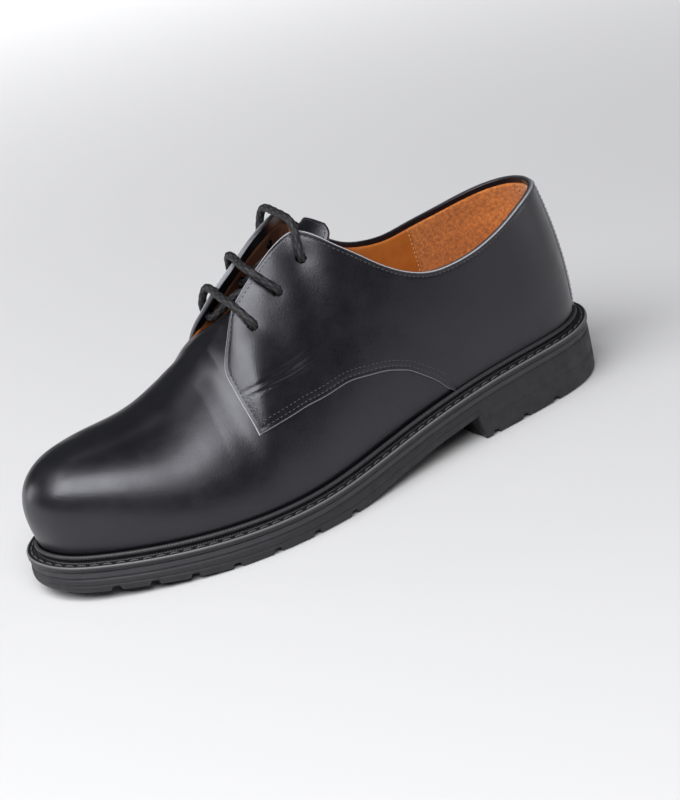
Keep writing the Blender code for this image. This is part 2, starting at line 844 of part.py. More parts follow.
def lace_points():
    """Course of the lace: out on the inner side, over, in on the outer side."""
    course = []
    for k in range(len(HOLES)):
        rise = lace_end(-1, k)
        fall = lace_end(1, k)[::-1]
        top = (rise[-1] + fall[0]) / 2 + (0.0, 0.0, BAR_SLACK[k][2])
        course += rise + [top] + fall
        if k + 1 < len(HOLES):
            after = lace_end(-1, k + 1)[0]
            course.append((fall[-1] + after) / 2 + (0.0, 0.0, CROSS_LIFT))
    middle, out = hole(-1, 0)
    course[0] = middle - out * QUARTER_SINK
    return np.array(course)


def make_laces():
    """One round lace through all six holes, both ends inside the flaps."""
    nodes = lace_points()
    step = np.linalg.norm(np.diff(nodes, axis=0), axis=1) ** 0.5
    at = np.concatenate([[0], np.cumsum(step)])
    line = curve(np.column_stack([at, nodes]))(np.linspace(0, at[-1], 84))
    sides = 8
    points = []
    normal = np.array([1.0, 0.0, 0.0])
    for k in range(len(line)):
        run = line[min(k + 1, len(line) - 1)] - line[max(k - 1, 0)]
        run /= np.linalg.norm(run)
        normal = normal - run * np.dot(normal, run)
        normal /= np.linalg.norm(normal)
        other = np.cross(run, normal)
        for m in range(sides):
            turn = 2 * np.pi * m / sides
            points.append(line[k] + LACE_RADIUS * (normal * np.cos(turn) + other * np.sin(turn)))
    faces = []
    for k in range(len(line) - 1):
        faces += bridge(k * sides, (k + 1) * sides, sides)
    faces.append(tuple(range(sides))[::-1])
    faces.append(tuple(range(len(points) - sides, len(points))))
    return add("laces", points, faces)


def centre(parts):
    """Move all parts so the middle of the footprint is the origin."""
    corners = np.concatenate([[tuple(v.co) for v in made.data.vertices] for made in parts])
    low = corners.min(axis=0)
    high = corners.max(axis=0)
    shift = ((low[0] + high[0]) / 2, (low[1] + high[1]) / 2, low[2])
    for made in parts:
        for v in made.data.vertices:
            v.co = [v.co[i] - shift[i] for i in range(3)]


for old in list(bpy.data.objects):
    bpy.data.objects.remove(old, do_unlink=True)

PARTS = [
    (make_outsole(), (0.020, 0.020, 0.022), 0.70),
    (make_welt(), (0.012, 0.012, 0.013), 0.55),
    (make_insole(), (0.300, 0.130, 0.040), 0.60),
    (make_upper(), (0.008, 0.008, 0.010), 0.30),
    (make_tongue(), (0.008, 0.008, 0.010), 0.35),
    (make_laces(), (0.015, 0.015, 0.017), 0.80),
]
centre([part[0] for part in PARTS])
for part, tint, dullness in PARTS:
    paint(part, tint, dullness)
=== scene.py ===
"""Looks of a low lace-up shoe: leather, lining, welt, sole and lace.

The shoe's own forms are worked out here in millimetres, x from the back of the
heel to the toe, y towards the outer side, z up from the floor. placed() turns
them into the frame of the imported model.
"""

import bmesh
import bpy
import numpy as np
from mathutils import Matrix, Vector
from mathutils.bvhtree import BVHTree


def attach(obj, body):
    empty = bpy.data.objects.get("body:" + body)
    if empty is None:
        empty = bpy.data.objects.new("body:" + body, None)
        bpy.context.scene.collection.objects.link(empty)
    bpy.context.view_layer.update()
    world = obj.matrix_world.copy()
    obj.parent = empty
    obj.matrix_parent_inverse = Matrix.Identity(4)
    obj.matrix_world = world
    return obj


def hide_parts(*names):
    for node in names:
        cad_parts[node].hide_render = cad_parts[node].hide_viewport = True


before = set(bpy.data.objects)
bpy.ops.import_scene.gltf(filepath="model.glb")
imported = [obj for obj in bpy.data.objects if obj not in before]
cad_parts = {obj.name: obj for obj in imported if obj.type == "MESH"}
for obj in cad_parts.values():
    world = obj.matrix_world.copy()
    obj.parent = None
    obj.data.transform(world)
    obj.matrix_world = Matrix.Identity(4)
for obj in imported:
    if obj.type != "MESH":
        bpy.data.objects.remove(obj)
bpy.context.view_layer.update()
scene = bpy.context.scene

MM = 0.001

# Main sizes, millimetres
SOLE_LENGTH = 300.0
BALL_WIDTH = 108.5
HEEL_HEIGHT = 27.4
UPPER_HEIGHT = 121.6

# Thicknesses and steps, millimetres
WALL = 2.1
QUARTER_STEP = 1.2
QUARTER_SINK = 1.2
STRIP_STEP = 0.8
WELT_THICK = 2.6
WELT_INNER = 11.0
FEATHER_INSET = 7.4
INSOLE_THICK = 2.8
TONGUE_THICK = 2.0
LACE_RADIUS = 1.9
BREAST_SHARE = 0.2923
BREAST_SLOPE = 2.6
NOTCH_DEPTH = 2.0
NOTCH_WIDTH = 4.2
NOTCH_REACH = 13.0

# Clearances, millimetres
GAP = 0.3
LACE_GAP = 0.45

# Sole edge seen from above: share of length, then outer and inner half widths
# as shares of the ball width
EDGE = (
    (0.0200, 0.1539, 0.1594),
    (0.0733, 0.2737, 0.2820),
    (0.1600, 0.3309, 0.3263),
    (0.2600, 0.3613, 0.3180),
    (0.3333, 0.3806, 0.2949),
    (0.4167, 0.4065, 0.3005),
    (0.5000, 0.4461, 0.3521),
    (0.5933, 0.4903, 0.4442),
    (0.6833, 0.4977, 0.5023),
    (0.7733, 0.4581, 0.5115),
    (0.8600, 0.3714, 0.4654),
    (0.9367, 0.2452, 0.3456),
    (0.9833, 0.1124, 0.2120),
)
TOE_TIP = -0.0571

# Top of the welt from the side: share of length, share of heel height
RIM = (
    (-0.0667, 1.0000),
    (0.0000, 1.0000),
    (0.1333, 0.9927),
    (0.2667, 0.9416),
    (0.3667, 0.8248),
    (0.4833, 0.6496),
    (0.6000, 0.5219),
    (0.7167, 0.5036),
    (0.8167, 0.5438),
    (0.9000, 0.5985),
    (1.0000, 0.6715),
    (1.0667, 0.7117),
)

# Underside in front of the heel: share of length, share of heel height
UNDER = (
    (0.2000, 0.5100),
    (0.2933, 0.4450),
    (0.3417, 0.3800),
    (0.3833, 0.3140),
    (0.4267, 0.2336),
    (0.4707, 0.1533),
    (0.5157, 0.0584),
    (0.5600, 0.0055),
    (0.6600, 0.0000),
    (0.7530, 0.0000),
    (0.8100, 0.0420),
    (0.8500, 0.0766),
    (0.8900, 0.1168),
    (0.9367, 0.1533),
    (0.9733, 0.1825),
    (1.0000, 0.2190),
)
FOREFOOT_FLAT = (0.5680, 0.7500)

# Top of the wall: share of length at the sole, then share of length, share of
# ball width and share of upper height where that rib ends. It runs along the
# collar, down the lace opening and along the ridge of the toe.
TOP_OUTER = (
    (0.0000, 0.0500, -0.0138, 0.7993),
    (0.0200, 0.0587, 0.0645, 0.8026),
    (0.0733, 0.0917, 0.1714, 0.7977),
    (0.1133, 0.1267, 0.2138, 0.7730),
    (0.1600, 0.1700, 0.2433, 0.7352),
    (0.2100, 0.2200, 0.2618, 0.7023),
    (0.2600, 0.2667, 0.2673, 0.6875),
    (0.3067, 0.3100, 0.2654, 0.6908),
    (0.3533, 0.3533, 0.2544, 0.7286),
    (0.3933, 0.3900, 0.2359, 0.7895),
    (0.4333, 0.4233, 0.2101, 0.8618),
    (0.4633, 0.4500, 0.1806, 0.9194),
    (0.4867, 0.4700, 0.1438, 0.9655),
    (0.5050, 0.4867, 0.1088, 0.9868),
    (0.5233, 0.5033, 0.0903, 0.9819),
    (0.5533, 0.5333, 0.0885, 0.9507),
    (0.5833, 0.5617, 0.0912, 0.9062),
    (0.6133, 0.5900, 0.0940, 0.8553),
    (0.6400, 0.6150, 0.0940, 0.7993),
    (0.6633, 0.6367, 0.0645, 0.7434),
    (0.6867, 0.6620, -0.0230, 0.6860),
)
TOP_INNER = (
    (0.0000, 0.0500, -0.0138, 0.7993),
    (0.0200, 0.0587, -0.0903, 0.7977),
    (0.0733, 0.0917, -0.1935, 0.7763),
    (0.1133, 0.1267, -0.2341, 0.7582),
    (0.1600, 0.1700, -0.2599, 0.7385),
    (0.2100, 0.2200, -0.2747, 0.7220),
    (0.2600, 0.2667, -0.2783, 0.7105),
    (0.3067, 0.3100, -0.2747, 0.7253),
    (0.3533, 0.3500, -0.2618, 0.7632),
    (0.3933, 0.3833, -0.2470, 0.8240),
    (0.4333, 0.4133, -0.2267, 0.8931),
    (0.4633, 0.4383, -0.2009, 0.9523),
    (0.4867, 0.4600, -0.1677, 0.9918),
    (0.5050, 0.4800, -0.1253, 1.0000),
    (0.5233, 0.5000, -0.0959, 0.9918),
    (0.5533, 0.5317, -0.0903, 0.9507),
    (0.5833, 0.5633, -0.0903, 0.8947),
    (0.6133, 0.5933, -0.0922, 0.8438),
    (0.6400, 0.6200, -0.0922, 0.7944),
    (0.6633, 0.6417, -0.0793, 0.7451),
    (0.6867, 0.6620, -0.0230, 0.6860),
)
RIDGE = (
    (0.7133, 0.6877, -0.0276, 0.6357),
    (0.7467, 0.7167, -0.0295, 0.5905),
    (0.7867, 0.7533, -0.0332, 0.5461),
    (0.8267, 0.7867, -0.0378, 0.5238),
    (0.8667, 0.8167, -0.0415, 0.5156),
    (0.9067, 0.8400, -0.0442, 0.5123),
    (0.9433, 0.8560, -0.0461, 0.5099),
    (0.9733, 0.8667, -0.0470, 0.5090),
    (1.0000, 0.8733, -0.0479, 0.5082),
)

# Fullness of the ribs: share of length at the sole, rise of the lower handle,
# its lean outwards, pull of the upper handle, drop of the upper handle
FULLNESS = (
    (0.0000, 0.33, 0.05, 0.80, 0.33),
    (0.0733, 0.33, 0.10, 0.75, 0.33),
    (0.1600, 0.33, 0.14, 0.65, 0.33),
    (0.2600, 0.33, 0.10, 0.62, 0.33),
    (0.3533, 0.33, 0.04, 0.60, 0.33),
    (0.4633, 0.34, 0.03, 0.50, 0.33),
    (0.5533, 0.34, 0.05, 0.50, 0.30),
    (0.6133, 0.34, 0.07, 0.52, 0.24),
    (0.6633, 0.38, 0.08, 0.58, 0.10),
    (0.7133, 0.42, 0.09, 0.62, 0.03),
    (0.7867, 0.46, 0.12, 0.70, 0.00),
    (0.8667, 0.50, 0.15, 0.85, 0.00),
    (0.9433, 0.52, 0.22, 1.10, 0.00),
    (1.0000, 0.52, 0.34, 1.22, 0.00),
)

# Share of length from which the toe part is closed over the top
CLOSED_FROM = 0.6860

# Lower seam of the quarter: share of length at the sole, share of the rib
SEAM = (
    (0.0000, 0.060),
    (0.1500, 0.060),
    (0.3100, 0.060),
    (0.3310, 0.081),
    (0.3423, 0.144),
    (0.3507, 0.188),
    (0.3650, 0.244),
    (0.3767, 0.281),
    (0.3910, 0.319),
    (0.4083, 0.342),
    (0.4280, 0.356),
    (0.4667, 0.356),
    (0.5100, 0.350),
    (0.5567, 0.363),
    (0.5833, 0.381),
    (0.6133, 0.388),
    (0.6417, 0.388),
    (0.6763, 0.388),
)

# Front edges of the quarters from the low corner to the top of the lace opening:
# share of length at the sole, share of the rib
FACING_OUTER = (
    (0.6763, 0.388),
    (0.6790, 0.475),
    (0.6820, 0.575),
    (0.6827, 0.644),
    (0.6820, 0.719),
    (0.6763, 0.781),
    (0.6703, 0.831),
    (0.6647, 0.875),
    (0.6587, 0.919),
    (0.6500, 0.965),
    (0.6400, 1.000),
)
FACING_INNER = (
    (0.6400, 0.388),
    (0.6425, 0.475),
    (0.6440, 0.575),
    (0.6453, 0.644),
    (0.6453, 0.719),
    (0.6433, 0.781),
    (0.6399, 0.831),
    (0.6360, 0.875),
    (0.6318, 0.919),
    (0.6265, 0.965),
    (0.6200, 1.000),
)

# Lace holes: share of length at the sole, share of the rib, then the shares of
# length where the bar crosses the outer and the inner edge of the opening
HOLES = (
    (0.5127, 0.885, 0.5100, 0.5080),
    (0.5670, 0.845, 0.5980, 0.5830),
    (0.6243, 0.822, 0.6415, 0.6310),
)

# Tongue down its middle: share of length, share of upper height, then its half
# width and the side shift of its middle as shares of the ball width
TONGUE = (
    (0.4367, 0.9745, 0.080, 0.000),
    (0.4440, 0.9570, 0.118, 0.000),
    (0.4600, 0.9250, 0.130, 0.000),
    (0.4950, 0.8760, 0.132, -0.004),
    (0.5500, 0.8080, 0.132, -0.006),
    (0.6000, 0.7400, 0.132, -0.010),
    (0.6330, 0.6960, 0.136, -0.014),
    (0.6600, 0.6550, 0.140, -0.020),
    (0.6870, 0.6080, 0.144, -0.026),
    (0.7130, 0.5630, 0.148, -0.028),
)
TONGUE_ROUND = 26.0

# Looseness of each bar of the lace over its inner and its outer flap edge and
# its rise between them, millimetres, top bar first
BAR_SLACK = (
    (1.0, 1.4, 2.2),
    (0.4, 0.3, 0.0),
    (0.4, 0.3, 0.0),
)
CROSS_LIFT = 6.0

# Notches of the tread edge, shares of length
NOTCHES = (0.146, 0.212, 0.274, 0.567, 0.638, 0.705, 0.768, 0.827, 0.880, 0.928)


def curve(rows):
    """Natural cubic curve through rows whose first column is the position."""
    table = np.array(rows, float)
    knots = table[:, 0]
    values = table[:, 1:]
    n = len(knots)
    h = np.diff(knots)
    a = np.eye(n)
    r = np.zeros((n, values.shape[1]))
    for i in range(1, n - 1):
        a[i, i - 1:i + 2] = h[i - 1], 2 * (h[i - 1] + h[i]), h[i]
        r[i] = 6 * (values[i + 1] - values[i]) / h[i]
        r[i] -= 6 * (values[i] - values[i - 1]) / h[i - 1]
    bend = np.linalg.solve(a, r)

    def at(x):
        x = np.asarray(x, float)
        i = np.clip(np.searchsorted(knots, x) - 1, 0, n - 2)
        p = ((knots[i + 1] - x) / h[i])[..., None]
        q = ((x - knots[i]) / h[i])[..., None]
        s = (h[i] ** 2)[..., None] / 6
        line = p * values[i] + q * values[i + 1]
        return line + ((p ** 3 - p) * bend[i] + (q ** 3 - q) * bend[i + 1]) * s

    return at


def unit(vectors):
    """Vectors made one long, along the last axis."""
    return vectors / np.linalg.norm(vectors, axis=-1)[..., None]


def lengths(points):
    """Distance along a line from its first point to each of its points."""
    return np.concatenate([[0], np.cumsum(np.linalg.norm(np.diff(points, axis=0), axis=1))])


def columns_at(x, at, rows):
    """Columns of rows that are given at some positions, read at others."""
    return np.stack([np.interp(x, at, rows[:, k]) for k in range(rows.shape[1])], -1)


def edge_knots():
    """Positions 0 at the heel to 1 at the toe for the rows of the sole edge."""
    rows = np.array([(0, 0, 0)] + list(EDGE) + [(1, TOE_TIP, -TOE_TIP)])
    xy = rows * (SOLE_LENGTH, BALL_WIDTH, BALL_WIDTH)
    step = np.diff(xy, axis=0)
    outer = np.hypot(step[:, 0], step[:, 1]) ** 0.8
    inner = np.hypot(step[:, 0], step[:, 2]) ** 0.8
    t = np.concatenate([[0], np.cumsum(outer + inner)])
    return t / t[-1], xy


KNOTS, EDGE_XY = edge_knots()


def edge_curve():
    """Sole edge once round: 0 heel, 0 to 1 outer side, 1 toe, 1 to 2 inner."""
    outer = np.column_stack([KNOTS, EDGE_XY[:, 0], EDGE_XY[:, 1]])
    inner = np.column_stack([2 - KNOTS, EDGE_XY[:, 0], -EDGE_XY[:, 2]])[::-1][1:]
    once = np.concatenate([outer, inner])
    before = once[-4:-1] - (2, 0, 0)
    after = once[1:4] + (2, 0, 0)
    return curve(np.concatenate([before, once, after]))


EDGE_AT = edge_curve()
SAMPLES = np.linspace(0, 1, 601)
SAMPLE_X = EDGE_AT(SAMPLES)[:, 0] / SOLE_LENGTH


def place(share):
    """Position along one side of the sole edge for a share of the length."""
    return np.interp(share, SAMPLE_X, SAMPLES)


def share_of(t):
    """Share of the length at a position along one side of the sole edge."""
    return np.interp(t, SAMPLES, SAMPLE_X)


def one_side(s):
    """Positions round the shoe folded onto one side, 0 at the heel to 1 at the toe."""
    return np.where(s <= 1, s, 2 - s)


def outward(s):
    d = unit(EDGE_AT(s + 1e-4) - EDGE_AT(s - 1e-4))
    return np.stack([-d[..., 1], d[..., 0]], -1)


def edge(s, inset):
    """Sole edge moved inwards by a distance."""
    s = np.asarray(s, float) % 2.0
    return EDGE_AT(s) - outward(s) * np.asarray(inset, float)[..., None]


RIM_AT = curve(np.array(RIM) * (1.0, HEEL_HEIGHT))
UNDER_AT = curve(np.array(UNDER) * (1.0, HEEL_HEIGHT))


def rim(x):
    """Height of the welt top."""
    return RIM_AT(x / SOLE_LENGTH)[..., 0]


def under(x):
    """Height of the underside: heel block, arch, flat forefoot, toe spring."""
    share = x / SOLE_LENGTH
    z = np.maximum(UNDER_AT(share)[..., 0], 0.0)
    flat = (share > FOREFOOT_FLAT[0]) & (share < FOREFOOT_FLAT[1])
    z = np.where(flat, 0.0, z)
    return np.where(share < BREAST_SHARE + 0.002, 0.0, z)


def by_place(rows, *sizes):
    """Curve over the position along the edge, rows given by share of length."""
    table = np.array(rows, float)
    table[:, 0] = place(table[:, 0])
    table[:, 1:] *= np.array(sizes)
    return curve(table)


TOP_SIZES = (SOLE_LENGTH, BALL_WIDTH, UPPER_HEIGHT)
TOP_OUTER_AT = by_place(TOP_OUTER + RIDGE, *TOP_SIZES)
TOP_INNER_AT = by_place(TOP_INNER + RIDGE, *TOP_SIZES)
FULL_AT = by_place(FULLNESS, 1.0, 1.0, 1.0, 1.0)
RIDGE_XYZ = np.array(RIDGE)[:, 1:] * TOP_SIZES


def ridge_slope(x):
    mid = (RIDGE_XYZ[:-1, 0] + RIDGE_XYZ[1:, 0]) / 2
    slope = np.diff(RIDGE_XYZ[:, 2]) / np.diff(RIDGE_XYZ[:, 0])
    return np.interp(x, mid, slope)


def handles(s):
    """Four control points of the rib that rises from each edge position."""
    s = np.asarray(s, float) % 2.0
    t = one_side(s)
    top = np.where((s <= 1)[..., None], TOP_OUTER_AT(t), TOP_INNER_AT(t))
    flat = edge(s, np.full(s.shape, FEATHER_INSET))
    foot = np.concatenate([flat, (rim(flat[..., 0]) + GAP)[..., None]], -1)
    rise, lean, pull, drop = np.moveaxis(FULL_AT(t), -1, 0)
    d = top - foot
    low = foot.copy()
    low[..., :2] += outward(s) * (lean * rise * d[..., 2])[..., None]
    low[..., 2] += rise * d[..., 2]
    high = top.copy()
    high[..., :2] -= pull[..., None] * d[..., :2]
    high[..., 2] -= drop * d[..., 2]
    front = np.clip((top[..., 0] / SOLE_LENGTH - 0.65) / 0.05, 0, 1)
    high[..., 2] -= front * ridge_slope(top[..., 0]) * d[..., 0] * pull
    return foot, low, high, top


def skin(s, b):
    """Outer face of the wall: s round the sole edge, b up the rib."""
    foot, low, high, top = handles(s)
    b = np.asarray(b, float)[..., None]
    a = 1 - b
    return a ** 3 * foot + 3 * a * a * b * low + 3 * a * b * b * high + b ** 3 * top


def skin_normal(s, b):
    s = np.asarray(s, float)
    b = np.minimum(np.asarray(b, float), 0.97)
    along = skin(s + 1e-3, b) - skin(s - 1e-3, b)
    up = skin(s, b + 1e-3) - skin(s, b - 1e-3)
    return unit(np.cross(up, along))


def offset(s, b, distance):
    return skin(s, b) + skin_normal(s, b) * distance


def edge_place(side, share):
    """Edge position for a share of the length on the outer or inner side."""
    s = float(place(share))
    return np.array(s if side > 0 else 2 - s)


def hole(side, k):
    """Middle of a lace hole and the outward direction there."""
    s = edge_place(side, HOLES[k][0])
    b = np.array(HOLES[k][1])
    return skin(s, b), skin_normal(s, b)


def lace_end(side, k):
    """Points from inside a hole to just over the edge of its flap."""
    middle, out = hole(side, k)
    share, b, outer_share, inner_share = HOLES[k]
    crossing = outer_share if side > 0 else inner_share
    slack = BAR_SLACK[k][0 if side < 0 else 1]
    clear = QUARTER_STEP + LACE_GAP + LACE_RADIUS
    low = middle - out * (QUARTER_SINK + LACE_GAP + LACE_RADIUS)
    near = middle + out * (QUARTER_STEP + 1.3)
    way = 0.4
    s = edge_place(side, share + (crossing - share) * way)
    lip = offset(s, np.array(b + (1.0 - b) * way), clear + slack * 0.6)
    s = edge_place(side, crossing)
    lean = unit(skin_normal(s, np.array(1.0)) + (0.0, 0.0, 1.0))
    over = skin(s, np.array(1.0)) + lean * (clear + 0.3 + slack)
    return [low, near, lip, over]


def lace_points():
    """Course of the lace: out on the inner side, over, in on the outer side."""
    course = []
    for k in range(len(HOLES)):
        rise = lace_end(-1, k)
        fall = lace_end(1, k)[::-1]
        top = (rise[-1] + fall[0]) / 2 + (0.0, 0.0, BAR_SLACK[k][2])
        course += rise + [top] + fall
        if k + 1 < len(HOLES):
            after = lace_end(-1, k + 1)[0]
            course.append((fall[-1] + after) / 2 + (0.0, 0.0, CROSS_LIFT))
    middle, out = hole(-1, 0)
    course[0] = middle - out * QUARTER_SINK
    return np.array(course)


# Footprint centre of the shoe while its forms are worked out, millimetres
rim_xy = edge(np.linspace(0, 2, 2000), 0.0)
FOOTPRINT = np.append((rim_xy.min(axis=0) + rim_xy.max(axis=0)) / 2, 0.0)

# Camera: angles round the shoe, roll, distance and target, and the lens
CAMERA_AZIMUTH = 27.63
CAMERA_ELEVATION = 21.88
CAMERA_ROLL = -13.19
CAMERA_DISTANCE = 1089.4
CAMERA_TARGET = (144.86, 13.30, 36.93)
CAMERA_LENS = 107.86


def placed(points):
    """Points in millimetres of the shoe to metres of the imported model."""
    return (np.asarray(points, float) - FOOTPRINT) * MM


def smooth(x, low, high):
    """0 below low, 1 above high, soft between."""
    t = np.clip((np.asarray(x, float) - low) / (high - low), 0, 1)
    return t * t * (3 - 2 * t)


def add_object(name, data):
    made = bpy.data.objects.new(name, data)
    scene.collection.objects.link(made)
    return made


def face_outwards(mesh, weld=0.0):
    """Merge points closer than weld and turn all faces outwards."""
    work = bmesh.new()
    work.from_mesh(mesh)
    if weld:
        bmesh.ops.remove_doubles(work, verts=work.verts, dist=weld * MM)
    bmesh.ops.recalc_face_normals(work, faces=work.faces)
    work.to_mesh(mesh)
    work.free()


def build(name, points, faces, material, node, values=None, weld=0.0, slots=None):
    """One smooth-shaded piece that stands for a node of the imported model."""
    mesh = bpy.data.meshes.new(name)
    mesh.from_pydata(placed(points).tolist(), [], [tuple(map(int, f)) for f in faces])
    for key, data in (values or {}).items():
        layer = mesh.attributes.new(key, "FLOAT", "POINT")
        layer.data.foreach_set("value", np.asarray(data, np.float32).ravel())
    if slots is not None:
        mesh.polygons.foreach_set("material_index", np.asarray(slots, np.int32))
    face_outwards(mesh, weld)
    mesh.polygons.foreach_set("use_smooth", [True] * len(mesh.polygons))
    mesh.update()
    made = add_object(name, mesh)
    for entry in material if isinstance(material, (list, tuple)) else [material]:
        mesh.materials.append(entry)
    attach(made, "root")
    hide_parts(node)
    return made


def grid_faces(count_u, count_v, wrap=False, start=0):
    """Quads over a grid of points stored row after row."""
    last = count_u if wrap else count_u - 1
    i, j = np.meshgrid(np.arange(last), np.arange(count_v - 1), indexing="ij")
    k = (i + 1) % count_u
    here, ahead = i * count_v + j, k * count_v + j
    return np.stack([here, ahead, ahead + 1, here + 1], -1).reshape(-1, 4) + start


def closed_sheet(outside, inside):
    """Points and faces of a sheet with both its faces and the wall round its border."""
    count_u, count_v = outside.shape[:2]
    size = count_u * count_v
    index = np.arange(size).reshape(count_u, count_v)
    border = np.concatenate([index[:-1, 0], index[-1, :-1], index[:0:-1, -1], index[0, :0:-1]])
    after = np.roll(border, -1)
    faces = np.concatenate([
        grid_faces(count_u, count_v),
        grid_faces(count_u, count_v, start=size)[:, ::-1],
        np.stack([border, after, after + size, border + size], -1),
    ])
    return np.concatenate([outside.reshape(-1, 3), inside.reshape(-1, 3)]), faces


def cap_faces(count_u, count_v, column):
    """Faces across a closed ring of grid points, from its one half to the other."""
    ring = np.arange(count_u * count_v).reshape(count_u, count_v)[:, column]
    faces = []
    for i in range(count_u // 2):
        loop = (ring[i], ring[i + 1], ring[count_u - i - 1], ring[(count_u - i) % count_u])
        loop = tuple(dict.fromkeys(loop))
        if len(loop) > 2:
            faces.append(loop)
    return faces


def rounding(gap, radius):
    """Fall of a rounded border at a distance from its edge."""
    return radius - np.sqrt(np.clip(radius ** 2 - np.clip(radius - gap, 0, None) ** 2, 0, None))



class Shader:
    """A Principled material with short helpers for its nodes."""

    def __init__(self, name, color, roughness, **sockets):
        self.material = bpy.data.materials.new(name)
        self.material.use_nodes = True
        self.tree = self.material.node_tree
        self.main = self.tree.nodes["Principled BSDF"]
        self.main.inputs["Base Color"].default_value = (*color, 1)
        self.main.inputs["Roughness"].default_value = roughness
        for key, value in sockets.items():
            self.main.inputs[key.replace("_", " ")].default_value = value
        self.place = self.node("ShaderNodeTexCoord").outputs["Object"]
        self.height = None

    def node(self, kind, **settings):
        made = self.tree.nodes.new(kind)
        for key, value in settings.items():
            setattr(made, key, value)
        return made

    def wire(self, source, target):
        self.tree.links.new(source, target)

    def noise(self, size_mm, detail=3.0, rough=0.5, stretch=None):
        source = self.place
        if stretch is not None:
            mapping = self.node("ShaderNodeMapping")
            mapping.inputs["Scale"].default_value = stretch
            self.wire(source, mapping.inputs["Vector"])
            source = mapping.outputs["Vector"]
        made = self.node("ShaderNodeTexNoise")
        made.inputs["Scale"].default_value = 1000.0 / size_mm
        made.inputs["Detail"].default_value = detail
        made.inputs["Roughness"].default_value = rough
        self.wire(source, made.inputs["Vector"])
        return made.outputs["Fac"]

    def cells(self, size_mm):
        made = self.node("ShaderNodeTexVoronoi")
        made.inputs["Scale"].default_value = 1000.0 / size_mm
        self.wire(self.place, made.inputs["Vector"])
        return made.outputs["Distance"]

    def ramp(self, source, *stops):
        made = self.node("ShaderNodeValToRGB")
        points = made.color_ramp.elements
        while len(points) < len(stops):
            points.new(0.5)
        for point, (at, color) in zip(points, stops):
            point.position = at
            point.color = (*color, 1) if len(np.atleast_1d(color)) == 3 else (color, color, color, 1)
        self.wire(source, made.inputs["Fac"])
        return made.outputs["Color"]

    def value(self, name):
        return self.node("ShaderNodeAttribute", attribute_name=name).outputs["Fac"]

    def mix(self, factor, first, second):
        made = self.node("ShaderNodeMix", data_type="RGBA")
        self.wire(factor, made.inputs["Factor"])
        for source, target in ((first, made.inputs[6]), (second, made.inputs[7])):
            if isinstance(source, tuple):
                target.default_value = (*source, 1)
            else:
                self.wire(source, target)
        return made.outputs[2]

    def color(self, source):
        self.wire(source, self.main.inputs["Base Color"])
        return self

    def rough(self, source):
        self.wire(source, self.main.inputs["Roughness"])
        return self

    def bump(self, source, depth_mm, strength=1.0):
        made = self.node("ShaderNodeBump")
        made.inputs["Distance"].default_value = depth_mm * MM
        made.inputs["Strength"].default_value = strength
        self.wire(source, made.inputs["Height"])
        if self.height is not None:
            self.wire(self.height, made.inputs["Normal"])
        self.height = made.outputs["Normal"]
        self.wire(self.height, self.main.inputs["Normal"])
        return self


def black_leather(name, gloss=0.33):
    look = Shader(name, (0.006, 0.006, 0.008), gloss, Coat_Weight=0.10, Coat_Roughness=0.20)
    look.main.inputs["Specular IOR Level"].default_value = 0.66
    look.main.inputs["Specular Tint"].default_value = (0.90, 0.90, 1.0, 1.0)
    cloud = look.noise(38.0, 4.0, 0.6)
    tone = look.ramp(cloud, (0.30, (0.003, 0.003, 0.004)), (0.75, (0.006, 0.006, 0.008)))
    # Painted highlight, partly burnish: where the rim value is set, the colour is mixed to light grey
    # along rounded edges
    edge_light = look.value("rim")
    look.color(look.mix(edge_light, tone, (0.50, 0.50, 0.54)))
    look.rough(look.ramp(look.noise(9.0, 5.0, 0.6), (0.30, gloss - 0.04), (0.70, gloss + 0.06)))
    look.bump(look.noise(3.0, 4.0, 0.55), 0.020)
    look.bump(look.cells(0.62), 0.034)
    return look.material


def tan_leather(name, suede):
    low = (0.210, 0.045, 0.006) if suede else (0.360, 0.095, 0.012)
    high = (0.780, 0.260, 0.045) if suede else (0.560, 0.170, 0.028)
    look = Shader(name, high, 0.85 if suede else 0.5)
    size = 1.7 if suede else 22.0
    look.color(look.ramp(look.noise(size, 5.0, 0.7), (0.25, low), (0.75, high)))
    if suede:
        look.main.inputs["Sheen Weight"].default_value = 0.4
        look.main.inputs["Sheen Roughness"].default_value = 0.5
    look.bump(look.noise(0.8 if suede else 1.5, 4.0, 0.7), 0.16 if suede else 0.05)
    return look.material


def sole_rubber():
    look = Shader("sole_rubber", (0.020, 0.020, 0.024), 0.60)
    grain = look.noise(0.9, 2.0, 0.8)
    fleck = look.ramp(grain, (0.60, (0.016, 0.016, 0.019)), (0.78, (0.045, 0.045, 0.052)))
    look.color(look.mix(look.value("rim"), fleck, (0.034, 0.034, 0.039)))
    look.rough(look.ramp(look.noise(6.0, 4.0), (0.3, 0.52), (0.7, 0.72)))
    look.bump(look.noise(0.7, 3.0, 0.7), 0.06)
    return look.material


def welt_rubber():
    look = Shader("welt_rubber", (0.008, 0.008, 0.010), 0.44)
    tone = look.ramp(look.noise(5.0, 4.0), (0.3, (0.004, 0.004, 0.005)), (0.75, (0.012, 0.012, 0.014)))
    # Painted highlight: the rim value mixes the rubber to light grey on the welt's outer edge and,
    # fainter, on top of its bead
    look.color(look.mix(look.value("rim"), tone, (0.20, 0.20, 0.21)))
    look.bump(look.noise(0.9, 3.0, 0.7), 0.05)
    return look.material


def thread(name, color):
    look = Shader(name, color, 0.6)
    dark = tuple(0.55 * c for c in color)
    look.color(look.ramp(look.noise(0.5, 2.0), (0.3, dark), (0.7, color)))
    look.bump(look.noise(0.25, 2.0), 0.05)
    return look.material


# Painted shade: a darker copy of the tan lining for the shaded inside of the flaps
def shade_painted_tan():
    look = Shader("shade_painted_tan", (0.085, 0.026, 0.007), 0.8)
    return look.bump(look.noise(0.8, 4.0), 0.08).material


